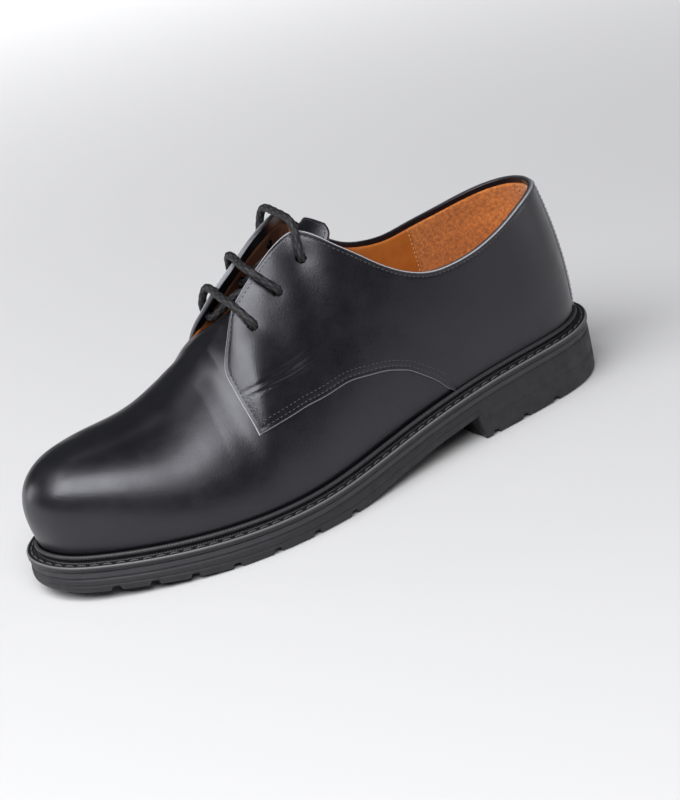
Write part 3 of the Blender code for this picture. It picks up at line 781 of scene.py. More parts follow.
def lace_cord():
    look = Shader("lace_cord", (0.022, 0.022, 0.026), 0.60)
    # Painted shade: the rim value carries the braid, near black in the gaps between strands, dark grey
    # on the strands
    look.color(look.mix(look.value("rim"), (0.001, 0.001, 0.001), (0.034, 0.034, 0.040)))
    look.main.inputs["Specular IOR Level"].default_value = 0.35
    look.bump(look.noise(0.3, 2.0), 0.05)
    return look.material


LEATHER = black_leather("black_leather")
EDGE_LEATHER = black_leather("strip_leather", 0.31)
SMOOTH_TAN = tan_leather("smooth_tan", False)
SUEDE_TAN = tan_leather("suede_tan", True)
SHADE_PAINTED_TAN = shade_painted_tan()
SOLE = sole_rubber()
WELT = welt_rubber()
BLACK_THREAD = thread("black_thread", (0.060, 0.060, 0.068))
GREY_THREAD = thread("grey_thread", (0.085, 0.085, 0.095))
TAN_THREAD = thread("tan_thread", (0.620, 0.330, 0.130))
LACE = lace_cord()

# Soft folds of the upper: side (1 outer, -1 inner), share of length and share
# of the rib at both ends, depth in millimetres (minus is a ridge), width
CREASES = (
    (1, 0.676, 0.590, 0.541, 0.540, 0.50, 1.0),
    (1, 0.668, 0.576, 0.560, 0.527, -0.36, 1.0),
    (1, 0.672, 0.562, 0.541, 0.503, 0.46, 1.0),
    (1, 0.655, 0.545, 0.575, 0.512, -0.28, 1.0),
    (1, 0.640, 0.610, 0.560, 0.575, 0.30, 1.1),
    (1, 0.722, 0.30, 0.705, 0.90, 0.25, 9.0),
    (1, 0.765, 0.34, 0.750, 0.95, -0.18, 9.0),
    (-1, 0.700, 0.34, 0.690, 0.92, 0.28, 9.0),
    (-1, 0.735, 0.30, 0.728, 0.90, -0.18, 9.0),
    (-1, 0.630, 0.590, 0.520, 0.540, 0.26, 0.9),
    (-1, 0.625, 0.565, 0.530, 0.510, 0.22, 0.9),
    (1, 0.300, 0.30, 0.420, 0.70, 0.30, 9.0),
    (-1, 0.300, 0.30, 0.410, 0.72, 0.30, 9.0),
    (1, 0.045, 0.30, 0.160, 0.24, 0.25, 8.0),
)


def fold(s, b):
    """Depth of the folds at positions on the upper, minus is inwards."""
    points = skin(s, b)
    total = np.zeros(points.shape[:-1])
    for side, share_a, b_a, share_c, b_c, depth, width in CREASES:
        t = np.linspace(0, 1, 9)
        across = place(share_a + (share_c - share_a) * t)
        line = skin(across if side > 0 else 2 - across, b_a + (b_c - b_a) * t)
        best = np.full(total.shape, 1e9)
        along = np.zeros(total.shape)
        for k in range(len(line) - 1):
            run = line[k + 1] - line[k]
            f = np.clip(((points - line[k]) @ run) / (run @ run), 0, 1)
            gap = np.linalg.norm(points - line[k] - f[..., None] * run, axis=-1)
            closer = gap < best
            best = np.where(closer, gap, best)
            along = np.where(closer, (k + f) / (len(line) - 1), along)
        ends = np.sin(np.pi * np.clip(along, 0.02, 0.98)) ** 0.7
        total -= depth * np.exp(-(best / width) ** 2) * ends
    return total


# Throat: share of length where the toe part is closed again behind its ridge, and
# slope and bend of its middle line. Toe part: share of length where it starts,
# share of the rib where its sheet starts and where it ends behind the throat.
THROAT_FROM = 0.580
THROAT_SLOPE = 0.60
THROAT_BEND = 0.0046
VAMP_FROM = 0.285
VAMP_LOW = -0.03
VAMP_BEHIND = 0.76
THROAT_SOFT = 0.014
THROAT_SCALE = 290.0


def crest(x):
    """Height of the throat's middle line behind the ridge of the toe part."""
    start = TOP_OUTER_AT(place(CLOSED_FROM))
    back = start[0] - x
    return start[2] + THROAT_SLOPE * back - THROAT_BEND * back ** 2


def vamp_surface(s, b):
    """Toe part: the outer skin, drawn down to the throat's crest behind it."""
    points = offset(s, b, 0.0) + skin_normal(s, b) * fold(s, b)[..., None]
    start = TOP_OUTER_AT(place(CLOSED_FROM))
    share = share_of(one_side(s))
    back = np.clip(CLOSED_FROM - share, 0, None) * THROAT_SCALE
    target = np.stack([start[0] - back, np.full(back.shape, start[1]), crest(start[0] - back)], -1)
    top = skin(s, np.ones(s.shape))
    closing = smooth(share, THROAT_FROM - THROAT_SOFT, THROAT_FROM)
    pull = smooth(b, 0.58, 1.0) * closing * (back > 0)
    return points + (target - top) * pull[..., None]


# Half width of the rounding over that ridge, and the shares between which it ends
RIDGE_ROUND = 7.0
RIDGE_ROUND_ENDS = (0.70, 0.80)


def round_ridge(points, share):
    """Round the fold where the two halves of the toe part meet at the throat."""
    done = points.copy()
    middle = points.shape[1] - 1
    for i in range(len(points) // 2):
        if share[i] < THROAT_FROM:
            continue
        width = RIDGE_ROUND * (1 - smooth(share[i], *RIDGE_ROUND_ENDS))
        if width < 0.3:
            continue
        line = np.concatenate([points[i], points[-1 - i][::-1][1:]])
        size = lengths(line)
        size -= size[middle]
        low, high = columns_at(np.array([-width, width]), size, line)
        t = np.clip((size + width) / (2 * width), 0, 1)[:, None]
        arch = (1 - t) ** 2 * low + 2 * t * (1 - t) * line[middle] + t ** 2 * high
        line = np.where(np.abs(size)[:, None] < width, arch, line)
        done[i] = line[:middle + 1]
        done[-1 - i] = line[middle:][::-1]
    return done


def make_vamp():
    """Toe part, one sheet from the seam of one side over the ridge to the other."""
    half = np.concatenate([
        np.linspace(place(VAMP_FROM), place(THROAT_FROM), 90),
        np.linspace(place(THROAT_FROM), 1, 190)[1:],
    ])
    s = np.concatenate([half, 2 - half[:-1][::-1]])
    share = share_of(one_side(s))
    closing = smooth(share, THROAT_FROM - THROAT_SOFT, THROAT_FROM)
    top = VAMP_BEHIND + (1 - VAMP_BEHIND) * closing
    v = np.concatenate([np.linspace(0, 0.96, 96), np.linspace(0.96, 1.0, 8)[1:]])
    b = VAMP_LOW + (top[:, None] - VAMP_LOW) * v[None, :]
    grid_s = np.repeat(s[:, None], len(v), axis=1)
    points = vamp_surface(grid_s, b)
    closed = share >= THROAT_FROM
    middle = (points[:, -1] + points[::-1, -1]) / 2
    points[:, -1] = np.where(closed[:, None], middle, points[:, -1])
    points = round_ridge(points, share)
    faces = grid_faces(len(s), len(v))
    return build("vamp", points.reshape(-1, 3), faces, LEATHER, "upper",
                 {"rim": np.zeros(grid_s.size)}, weld=0.004)


# Behind the seam the quarters run down inside the bead of the welt
HEEL_DIP = 0.09
HEEL_DIP_ENDS = (0.305, 0.328)
QUARTER_SAMPLES = 500


def quarter_map(facing):
    """Function from shares over one quarter (u to the front, v up) to (s, b)."""
    low_end = place(facing[0][0])
    high_end = place(facing[-1][0])
    seam = by_place(SEAM, 1.0)
    fine = np.linspace(0, 1, QUARTER_SAMPLES)
    order = np.arange(QUARTER_SAMPLES)
    dip = HEEL_DIP * (1 - smooth(share_of(fine * low_end), *HEEL_DIP_ENDS))
    low = np.column_stack([fine * low_end, seam(fine * low_end)[:, 0] - dip])
    high = np.column_stack([fine * high_end, np.ones(QUARTER_SAMPLES)])
    size = np.zeros(QUARTER_SAMPLES - 1)
    for line in (low, high):
        size += np.linalg.norm(np.diff(skin(line[:, 0], line[:, 1]), axis=0), axis=1)
    total = np.concatenate([[0], np.cumsum(size)]) / size.sum()
    table = np.array(facing)
    table[:, 0] = place(table[:, 0])
    front_at = curve(np.column_stack([table[:, 1], table]))

    def at(u, v):
        k = np.interp(u, total, order)
        bottom = columns_at(k, order, low)
        upper = columns_at(k, order, high)
        w = v[..., None]
        front = front_at(low[-1, 1] + (1 - low[-1, 1]) * v)
        back = np.stack([np.zeros(v.shape), low[0, 1] + (1 - low[0, 1]) * v], -1)
        q = (bottom[..., 0] / low[-1, 0])[..., None]
        sheet = (1 - w) * bottom + w * upper + (1 - q) * back + q * front
        corners = (1 - q) * (1 - w) * low[0] + q * (1 - w) * low[-1]
        return sheet - corners - (1 - q) * w * high[0] - q * w * high[-1]

    return at


OUTER_QUARTER = quarter_map(FACING_OUTER)
INNER_QUARTER = quarter_map(FACING_INNER)

# Distances from a border at which the rows of the quarter lie, millimetres
BORDER_ROWS = (0.0, 0.08, 0.2, 0.36, 0.56, 0.8, 1.1, 1.6, 2.2, 2.9, 3.8, 5.0)
EDGE_ROUND = 0.6
FLAP_HALF = 1.2

# Size of a quarter that sets its border rows, and its even rows between them
QUARTER_LONG = 220.0
QUARTER_HIGH = 75.0
QUARTER_ROWS_LONG = 212
QUARTER_ROWS_HIGH = 76

# Lace holes: radius, depth and width of the dents round them, punch
HOLE_RADIUS = 2.3
HOLE_PINCH = 0.35
HOLE_PINCH_WIDE = 4.5
PUNCH_HALF = 7.0
PUNCH_SIDES = 28


def steps(length, near, far, even):
    """Shares of a length: crowded at both borders, even between."""
    a = [d / length for d in BORDER_ROWS] if near else [0.0]
    c = [1 - d / length for d in BORDER_ROWS][::-1] if far else [1.0]
    return np.concatenate([a, np.linspace(a[-1], c[0], even + 2)[1:-1], c])


def quarter_grid(at):
    u = steps(QUARTER_LONG, False, True, QUARTER_ROWS_LONG)
    v = steps(QUARTER_HIGH, True, True, QUARTER_ROWS_HIGH)
    return at(np.repeat(u[:, None], len(v), 1), np.repeat(v[None, :], len(u), 0))


def border_distance(points):
    """Distance of grid points to the seam, the top and the front border."""
    up = np.linalg.norm(np.diff(points, axis=1), axis=-1)
    from_low = np.concatenate([np.zeros((len(points), 1)), np.cumsum(up, axis=1)], axis=1)
    from_top = from_low[:, -1:] - from_low
    ahead = np.linalg.norm(np.diff(points, axis=0), axis=-1)[::-1]
    from_front = np.concatenate([np.zeros((1, points.shape[1])), np.cumsum(ahead, axis=0)])[::-1]
    return from_low, from_top, from_front


def pinch(points):
    """Small dents round the lace holes."""
    dent = np.zeros(points.shape[:-1])
    for side in (1, -1):
        for k in range(len(HOLES)):
            middle, out = hole(side, k)
            gap = np.linalg.norm(points - middle, axis=-1)
            dent -= HOLE_PINCH * np.exp(-(gap / HOLE_PINCH_WIDE) ** 2)
    return dent


def make_quarters():
    """Both sides as one sheet that runs round the heel, from flap to flap."""
    outer = quarter_grid(OUTER_QUARTER)
    inner = quarter_grid(INNER_QUARTER)
    halves = [border_distance(skin(g[..., 0], g[..., 1])) for g in (inner, outer)]
    low, top, front = [np.concatenate([a[::-1], c[1:]]) for a, c in zip(*halves)]
    s = np.concatenate([-inner[::-1, :, 0], outer[1:, :, 0]])
    b = np.concatenate([inner[::-1, :, 1], outer[1:, :, 1]])
    gap = np.minimum(np.minimum(low, top), front)
    fall = rounding(gap, EDGE_ROUND)
    groove = 0.14 * np.exp(-((gap - 2.1) / 0.5) ** 2)
    base = skin(s, b)
    normal = skin_normal(s, b)
    lift = QUARTER_STEP - fall - groove + fold(s, b) + pinch(base)
    outside = base + normal * lift[..., None]
    inside = base - normal * (FLAP_HALF - fall * 0.8)[..., None]
    points, faces = closed_sheet(outside, inside)
    # Painted highlight, partly burnish: a light line just inside the top and front borders, fainter
    # along the seam, on the outer face only
    glow = np.exp(-((np.minimum(top, front) - 0.30) / 0.24) ** 2)
    glow += 0.45 * np.exp(-((low - 0.3) / 0.24) ** 2)
    rim = np.concatenate([np.clip(glow, 0, 1).ravel(), np.zeros(glow.size)])
    made = build("quarters", points, faces, LEATHER, "upper", {"rim": rim})
    punch(made)
    return made


def punch(piece):
    """Cut the lace holes through a piece."""
    cutters = []
    n = PUNCH_SIDES
    turn = np.linspace(0, 2 * np.pi, n, endpoint=False)
    faces = [(i, (i + 1) % n, n + (i + 1) % n, n + i) for i in range(n)]
    faces += [tuple(range(n))[::-1], tuple(range(n, 2 * n))]
    for side in (1, -1):
        for k in range(len(HOLES)):
            middle, out = hole(side, k)
            first = unit(np.cross(out, (0.0, 0.0, 1.0)))
            second = np.cross(out, first)
            circle = first * np.cos(turn)[:, None] + second * np.sin(turn)[:, None]
            circle *= HOLE_RADIUS
            ends = [middle - out * PUNCH_HALF + circle, middle + out * PUNCH_HALF + circle]
            mesh = bpy.data.meshes.new("punch")
            mesh.from_pydata(placed(np.concatenate(ends)).tolist(), [], faces)
            face_outwards(mesh)
            cutters.append(add_object("punch", mesh))
    for cutter in cutters:
        step = piece.modifiers.new("hole", "BOOLEAN")
        step.operation = "DIFFERENCE"
        step.solver = "EXACT"
        step.object = cutter
        bpy.context.view_layer.objects.active = piece
        bpy.ops.object.modifier_apply(modifier=step.name)
        bpy.data.objects.remove(cutter, do_unlink=True)


# Half width of the strip over the back seam, millimetres
STRIP_WIDE = 11.0


def heel_width():
    """Millimetres round the back of the heel for one step of s."""
    return np.linalg.norm(skin(0.01, 0.5) - skin(-0.01, 0.5)) / 0.02


def make_strip():
    """Narrow strip over the back seam with softly rounded borders."""
    across = np.array([0, 0.1, 0.25, 0.5, 0.8, 1.3, 2.2, 4.0, 7.0])
    y = np.concatenate([across, [STRIP_WIDE], 2 * STRIP_WIDE - across[::-1]])
    d = np.minimum(y, 2 * STRIP_WIDE - y)
    s = (y - STRIP_WIDE) / heel_width()
    b = np.linspace(SEAM[0][1] + 0.004, 0.992, 60)
    grid_s, grid_b = np.meshgrid(s, b, indexing="ij")
    lift = QUARTER_STEP + STRIP_STEP - rounding(d, EDGE_ROUND)
    lift = np.repeat(lift[:, None], len(b), axis=1)
    close = smooth(grid_b, 0.985, 0.992) * 0.7
    points = offset(grid_s, grid_b, 0.0) + skin_normal(grid_s, grid_b) * (lift - close)[..., None]
    # Painted highlight, partly burnish: light lines along both borders of the strip
    glow = np.repeat((0.6 * np.exp(-(d / 0.5) ** 2))[:, None], len(b), axis=1)
    return build("back_strip", points.reshape(-1, 3), grid_faces(*grid_s.shape), EDGE_LEATHER,
                 "upper", {"rim": glow})


# Top of the lining: share of length at the sole, share of the rib
LINING_OUTER = (
    (0.0000, 0.958), (0.3500, 0.958), (0.4600, 0.955), (0.5000, 0.948),
    (0.5600, 0.925), (0.6000, 0.900), (0.6300, 0.850), (0.6500, 0.780),
    (0.6700, 0.720), (0.7100, 0.700), (1.0000, 0.700),
)
LINING_INNER = (
    (0.0000, 0.958), (0.3500, 0.958), (0.4600, 0.955), (0.5000, 0.948),
    (0.5600, 0.925), (0.5900, 0.900), (0.6100, 0.840), (0.6300, 0.760),
    (0.6500, 0.720), (0.7100, 0.700), (1.0000, 0.700),
)

# Rough leather ends at the first share of length. Painted shade: from the second one,
# above a share of the rib, the lining of the flaps gets a darker tan for the shade in the throat.
SUEDE_TO = 0.215
SHADE_PAINT_FROM = 0.470
SHADE_PAINT_HIGH = 0.74
LINING_STATIONS = 420
LINING_CLOSE = 0.45


def make_lining():
    """Inner skin: rough leather round the heel, smooth leather in front, and a darker tan painted on
    as shade high on the flaps.
    """
    s = np.linspace(0, 2, LINING_STATIONS, endpoint=False)
    share = share_of(one_side(s))
    tops = [np.interp(share, *np.array(rows).T) for rows in (LINING_OUTER, LINING_INNER)]
    top = np.where(s <= 1, *tops)
    v = np.concatenate([np.linspace(0, 0.97, 50), [0.98, 0.988, 0.994, 0.998, 1.0]])
    b = top[:, None] * v[None, :]
    grid_s = np.repeat(s[:, None], len(v), axis=1)
    closing = LINING_CLOSE * smooth(v, 0.985, 1.0)[None, :]
    points = offset(grid_s, b, 0.0) - skin_normal(grid_s, b) * (lining_depth(b) - closing)[..., None]
    faces = grid_faces(len(s), len(v), wrap=True)
    at_face = share[faces[:, 0] // len(v)]
    high = v[faces[:, 0] % len(v)] * top[faces[:, 0] // len(v)] > SHADE_PAINT_HIGH
    # Slot 2 is painted shade: a darker tan high on the flaps in the throat
    zone = np.where(at_face < SUEDE_TO, 1, np.where((at_face > SHADE_PAINT_FROM) & high, 2, 0))
    made = build("lining", points.reshape(-1, 3), faces, [SMOOTH_TAN, SUEDE_TAN, SHADE_PAINTED_TAN], "upper",
                 slots=zone)
    punch(made)
    return made



def border_line(points_sb, distance, inward):
    """Positions at a distance in millimetres to one side of a line of (s, b)."""
    s, b = points_sb[:, 0], points_sb[:, 1]
    here = skin(s, b)
    run = unit(np.gradient(here, axis=0))
    side = np.cross(run, skin_normal(s, b)) * inward
    along = (skin(s + 1e-3, b) - skin(s - 1e-3, b)) / 2e-3
    up = (skin(s, np.minimum(b, 0.97) + 1e-3) - skin(s, np.minimum(b, 0.97) - 1e-3)) / 2e-3
    out = points_sb.copy()
    for k in range(len(s)):
        jac = np.column_stack([along[k], up[k]])
        out[k] += np.linalg.lstsq(jac, side[k] * distance, rcond=None)[0]
    return out


def spaced(points, pitch):
    """Even stations along a line: places, directions and their row numbers."""
    at = lengths(points)
    count = max(int(at[-1] / pitch), 1)
    where = (np.arange(count) + 0.5) * at[-1] / count
    run = columns_at(where + 0.2, at, points) - columns_at(where - 0.2, at, points)
    return columns_at(where, at, points), unit(run), np.interp(where, at, np.arange(len(points)))


# Rings of one stitch: place along it, width and height as shares of its own
STITCH_SIDES = 6
STITCH_RINGS = ((-1.0, 0.25, -1.0), (-0.86, 0.75, -0.45), (-0.5, 1.0, 0.1), (0.0, 1.0, 0.35),
                (0.5, 1.0, 0.1), (0.86, 0.75, -0.45), (1.0, 0.25, -1.0))


def stitch_mesh(rows, length, thick):
    """Points and faces of many thread stitches, each arched into the leather."""
    n = STITCH_SIDES
    turn = np.linspace(0, 2 * np.pi, n, endpoint=False)
    points, faces = [], []
    for places, runs, normals in rows:
        for where, run, out in zip(places, runs, normals):
            across = np.cross(run, out)
            start = len(points)
            for t, wide, high in STITCH_RINGS:
                middle = where + run * t * length / 2 + out * (high * thick * 0.5)
                for a in turn:
                    points.append(middle + (across * np.cos(a) + out * np.sin(a)) * wide * thick / 2)
            for k in range(len(STITCH_RINGS) - 1):
                low, after = start + k * n, start + (k + 1) * n
                for i in range(n):
                    j = (i + 1) % n
                    faces.append((low + i, low + j, after + j, after + i))
            faces.append(tuple(range(start, start + n))[::-1])
            last = start + (len(STITCH_RINGS) - 1) * n
            faces.append(tuple(range(last, last + n)))
    return np.array(points), faces


def on_skin(line_sb, lift, pitch):
    """Stitch stations along a line of (s, b) lifted off the skin."""
    s, b = line_sb[:, 0], line_sb[:, 1]
    points = offset(s, b, lift) + skin_normal(s, b) * fold(s, b)[:, None]
    places, runs, k = spaced(points, pitch)
    at = columns_at(k, np.arange(len(s)), line_sb)
    return places, runs, skin_normal(at[:, 0], at[:, 1])


# Share of length where the rows over the side seam start, and distance of the
# rows of the back strip from its middle, millimetres
SEAM_ROWS_FROM = 0.329
STRIP_ROW = 9.2

# Short row of stitches across the lower front of the flap: share, share of rib
CROSS_ROW = ((0.674, 0.560), (0.633, 0.537))
STITCH_PITCH = 2.3
STITCH_SIZE = (1.75, 0.5)
STITCH_LIFT = QUARTER_STEP - 0.12

# Distances of the rows from their borders: crown, side seam, front corner
CROWN_ROW = 2.1
SEAM_ROWS = (2.2, 4.7)
CORNER_ROW = 4.6


def make_upper_stitches():
    """Rows on both quarters: borders, side seam, front corner; and on the strip."""
    lines = []
    for sign, at, facing in ((1, OUTER_QUARTER, FACING_OUTER), (-1, INNER_QUARTER, FACING_INNER)):
        along = np.linspace(0, 1, 240)
        turn = np.array([float(sign), 1.0])
        top = at(along, np.ones(240)) * turn
        front = at(np.ones(240), along[::-1]) * turn
        low = at(along, np.zeros(240)) * turn
        lines.append(border_line(np.concatenate([top, front[1:]]), CROWN_ROW, -sign)[:-14])
        for distance in SEAM_ROWS:
            line = border_line(low, distance, sign)
            lines.append(line[share_of(np.abs(line[:, 0])) > SEAM_ROWS_FROM][:-6])
        second = border_line(front[::-1], CORNER_ROW, sign)
        keep = (second[:, 1] > second[0, 1] + 0.03) & (second[:, 1] < CROSS_ROW[0][1])
        lines.append(second[keep])
        back = FACING_OUTER[0][0] - facing[0][0]
        bar = np.array([[sign * place(share - back), height] for share, height in CROSS_ROW])
        lines.append(bar[0] + np.linspace(0, 1, 14)[:, None] * (bar[1] - bar[0]))
    rows = [on_skin(line, STITCH_LIFT, STITCH_PITCH) for line in lines]
    b = np.linspace(0.08, 0.975, 60)
    for y in (-STRIP_ROW, STRIP_ROW):
        line = np.column_stack([np.full(60, y / heel_width()), b])
        rows.append(on_skin(line, QUARTER_STEP + STRIP_STEP - 0.05, STITCH_PITCH))
    points, faces = stitch_mesh(rows, *STITCH_SIZE)
    return build("upper_stitches", points, faces, BLACK_THREAD, "upper")


def lining_depth(b):
    """Depth of the lining's face under the outer skin."""
    return WALL + (FLAP_HALF + 0.55 - WALL) * smooth(b, 0.70, 0.80)


# Upright seams of the lining: position round the shoe, lowest share of the rib
LINING_SEAMS = (
    (place(SUEDE_TO), 0.25), (2 - place(SUEDE_TO), 0.25), (1.972, 0.20), (0.028, 0.20),
)
LINING_SEAM_TOP = 0.952
LINING_PITCH = 2.2
LINING_STITCH = (1.95, 0.6)


def make_lining_stitches():
    rows = []
    for s, b_low in LINING_SEAMS:
        b = np.linspace(b_low, LINING_SEAM_TOP, 90)
        line = np.full(len(b), float(s))
        points = skin(line, b) - skin_normal(line, b) * lining_depth(b)[:, None]
        places, runs, k = spaced(points, LINING_PITCH)
        outs = skin_normal(np.full(len(k), float(s)), np.interp(k, np.arange(len(b)), b))
        rows.append((places, runs, -outs))
    points, faces = stitch_mesh(rows, *LINING_STITCH)
    return build("lining_stitches", points, faces, TAN_THREAD, "upper")


# Gap between the throat of the toe part and the tongue, millimetres
TONGUE_DIP = 0.35

# Tongue: rounding of its border, where it meets the throat's line and where it
# has to lie under the toe part, its soft waves, and its row of stitches as a
# share of its half width and as rows from its top
TONGUE_EDGE = 0.9
TONGUE_JOIN = (160.0, 180.0)
TONGUE_UNDER_FROM = 165
TONGUE_WAVE = 0.5
TONGUE_ROW = 0.86
TONGUE_ROW_TOP = 12
TONGUE_ROW_END = 90
TONGUE_PITCH = 2.4
TONGUE_STITCH = (1.7, 0.45)


def tongue_point(t):
    """Middle of the tongue: x, z, half width and side shift for t from 0 to 1."""
    table = np.array(TONGUE) * (SOLE_LENGTH, UPPER_HEIGHT, BALL_WIDTH, BALL_WIDTH)
    return curve(np.column_stack([np.linspace(0, 1, len(table)), table]))(t)


def make_tongue(vamp):
    """Arched tongue that lies just under the throat of the toe part, and its row."""
    rows = tongue_point(np.linspace(0, 1, 120))
    edge_rows = np.array([0, 0.012, 0.03, 0.06])
    across = np.concatenate([-1 + edge_rows, np.linspace(-0.9, 0.9, 33), 1 - edge_rows[::-1]])
    x, z, half, shift = [rows[:, k:k + 1] for k in range(4)]
    join = smooth(x, *TONGUE_JOIN)
    z = z * (1 - join) + (crest(x) - TONGUE_DIP) * join
    run = unit(np.stack([np.gradient(x[:, 0]), np.gradient(z[:, 0])], -1))
    y = across[None, :] * half
    turn = np.arcsin(y / TONGUE_ROUND)
    edge_gap = (1 - np.abs(across))[None, :] * half
    tip = lengths(np.concatenate([x, z], axis=1))[:, None]
    fall = rounding(np.minimum(edge_gap, tip), TONGUE_EDGE)
    wave = TONGUE_WAVE * np.sin(x / 9.0 + y / 7.0) * smooth(x, 128, 150)
    layers = []
    for depth in (fall - wave * 0.4, TONGUE_THICK - fall - wave * 0.4):
        sag = TONGUE_ROUND * (1 - np.cos(turn)) + depth * np.cos(turn)
        spread = y - depth * np.sin(turn)
        layers.append(np.stack([x + run[:, 1:] * sag, shift + spread, z - run[:, :1] * sag], -1))
    tree = BVHTree.FromObject(vamp, bpy.context.evaluated_depsgraph_get())
    for layer, depth in zip(layers, (TONGUE_DIP, TONGUE_DIP + TONGUE_THICK)):
        for point in layer.reshape(-1, 3):
            if point[0] < TONGUE_UNDER_FROM:
                continue
            here = Vector(placed(point))
            hit = tree.ray_cast(Vector((here.x, here.y, 0.2)), Vector((0, 0, -1)))[0]
            if hit is not None:
                point[2] = min(point[2], hit.z / MM - depth)
    points, faces = closed_sheet(*layers)
    top_faces = (layers[0].shape[0] - 1) * (layers[0].shape[1] - 1)
    slots = (np.arange(len(faces)) >= top_faces).astype(int)
    build("tongue_leather", points, faces, [LEATHER, SMOOTH_TAN], "tongue",
          {"rim": np.zeros(len(points))}, slots=slots)
    side, top = TONGUE_ROW, TONGUE_ROW_TOP
    path = [(k, -side) for k in range(TONGUE_ROW_END - 2, top, -2)]
    for f in np.linspace(0.05, 0.95, 14):
        path.append((top - 6 * np.sin(np.pi * f), (2 * f - 1) * side))
    path += [(k, side) for k in range(top, TONGUE_ROW_END, 2)]
    rows_at = np.array(path)
    line = np.array([interpolate(layers[0], k, a, across) for k, a in rows_at])
    places, runs, where = spaced(line, TONGUE_PITCH)
    outs = np.array([interpolate_normal(layers[0], *rows_at[int(round(w))], across) for w in where])
    points, faces = stitch_mesh([(places, runs, outs)], *TONGUE_STITCH)
    build("tongue_stitches", points, faces, BLACK_THREAD, "tongue")


def interpolate(layer, k, a, across):
    """Point of a grid at a row number and a place across it."""
    k = float(np.clip(k, 0, len(layer) - 1.001))
    row = layer[int(k)] * (1 - k % 1) + layer[int(k) + 1] * (k % 1)
    return columns_at(a, across, row)


def interpolate_normal(layer, k, a, across):
    along = interpolate(layer, k + 1, a, across) - interpolate(layer, k - 1, a, across)
    side = interpolate(layer, k, a + 0.05, across) - interpolate(layer, k, a - 0.05, across)
    out = unit(np.cross(side, along))
    return out if out[2] > 0 else -out


# Points along the lace and round it, and pitch, strands and depth of its braid
LACE_STEPS = 1300
LACE_SIDES = 36
BRAID_PITCH = 6.0
BRAID_STRANDS = 5
BRAID_DEPTH = 0.24


def make_laces():
    """Round braided lace through the six holes."""
    nodes = lace_points()
    step = np.linalg.norm(np.diff(nodes, axis=0), axis=1) ** 0.5
    at = np.concatenate([[0], np.cumsum(step)])
    rough = curve(np.column_stack([at, nodes]))(np.linspace(0, at[-1], 800))
    size = lengths(rough)
    along = np.linspace(0, size[-1], LACE_STEPS)
    line = columns_at(along, size, rough)
    run = unit(np.gradient(line, axis=0))
    normal = np.array([1.0, 0.0, 0.0])
    points, glow = [], []
    turn = np.linspace(0, 2 * np.pi, LACE_SIDES, endpoint=False)
    for k in range(LACE_STEPS):
        normal = unit(normal - run[k] * (run[k] @ normal))
        other = np.cross(run[k], normal)
        phase = 2 * np.pi * along[k] / BRAID_PITCH
        one = np.abs(np.sin((BRAID_STRANDS * turn + phase) / 2))
        two = np.abs(np.sin((BRAID_STRANDS * turn - phase) / 2))
        braid = np.minimum(one, two)
        taper = 1 - 0.4 * smooth(k, LACE_STEPS - 8, LACE_STEPS) - 0.4 * (1 - smooth(k, 0, 8))
        radius = (LACE_RADIUS + 0.06 - BRAID_DEPTH * (1 - braid)) * taper
        circle = normal * np.cos(turn)[:, None] + other * np.sin(turn)[:, None]
        points.append(line[k] + radius[:, None] * circle)
        # Painted shade: the braid value is 0 in the gaps between strands, which darkens them almost to
        # black
        glow.append(braid)
    points = np.concatenate(points)
    grid = np.arange(LACE_STEPS * LACE_SIDES).reshape(LACE_STEPS, LACE_SIDES)
    ahead = np.roll(grid, -1, axis=1)
    faces = list(np.stack([grid[:-1], ahead[:-1], ahead[1:], grid[1:]], -1).reshape(-1, 4))
    faces.append(tuple(grid[0][::-1]))
    faces.append(tuple(grid[-1]))
    return build("lace", points, faces, LACE, "laces", {"rim": np.concatenate(glow)})


# Stations round the welt, and its section: inset from the rim, height over it
WELT_STATIONS = 3200
WELT_PROFILE = (
    (0.9, -WELT_THICK + 0.05), (0.15, -WELT_THICK + 0.1), (0.0, -2.2), (0.0, -1.3), (0.0, -0.6),
    (0.12, -0.25), (0.45, 0.0), (0.9, -0.02), (1.3, -0.32), (1.9, -0.42), (2.6, -0.42),
    (3.2, -0.42), (3.9, -0.42), (4.5, -0.40), (4.9, -0.2), (5.05, 0.3), (5.02, 0.9), (4.8, 1.3),
    (4.42, 1.65), (4.25, 2.15), (4.38, 2.7), (4.75, 3.12), (5.25, 3.3), (5.75, 3.2), (6.1, 2.65),
    (6.3, 1.7), (6.5, 0.6), (6.7, -0.2), (WELT_INNER, -0.3),
)

# Pitches round the welt: ribs of its bead, notches of its flat, its stitches
RIB_PITCH = 1.25
NOTCH_PITCH = 2.9
WELT_STITCH_PITCH = 5.8
WELT_STITCH = (4.3, 0.75)
WELT_ROW = 2.3


def round_stations(count):
    """Even stations round the sole edge and their length along it."""
    fine = np.linspace(0, 2, 8001)
    size = lengths(edge(fine, 0.0))
    along = np.linspace(0, size[-1], count, endpoint=False)
    return np.interp(along, size, fine), along


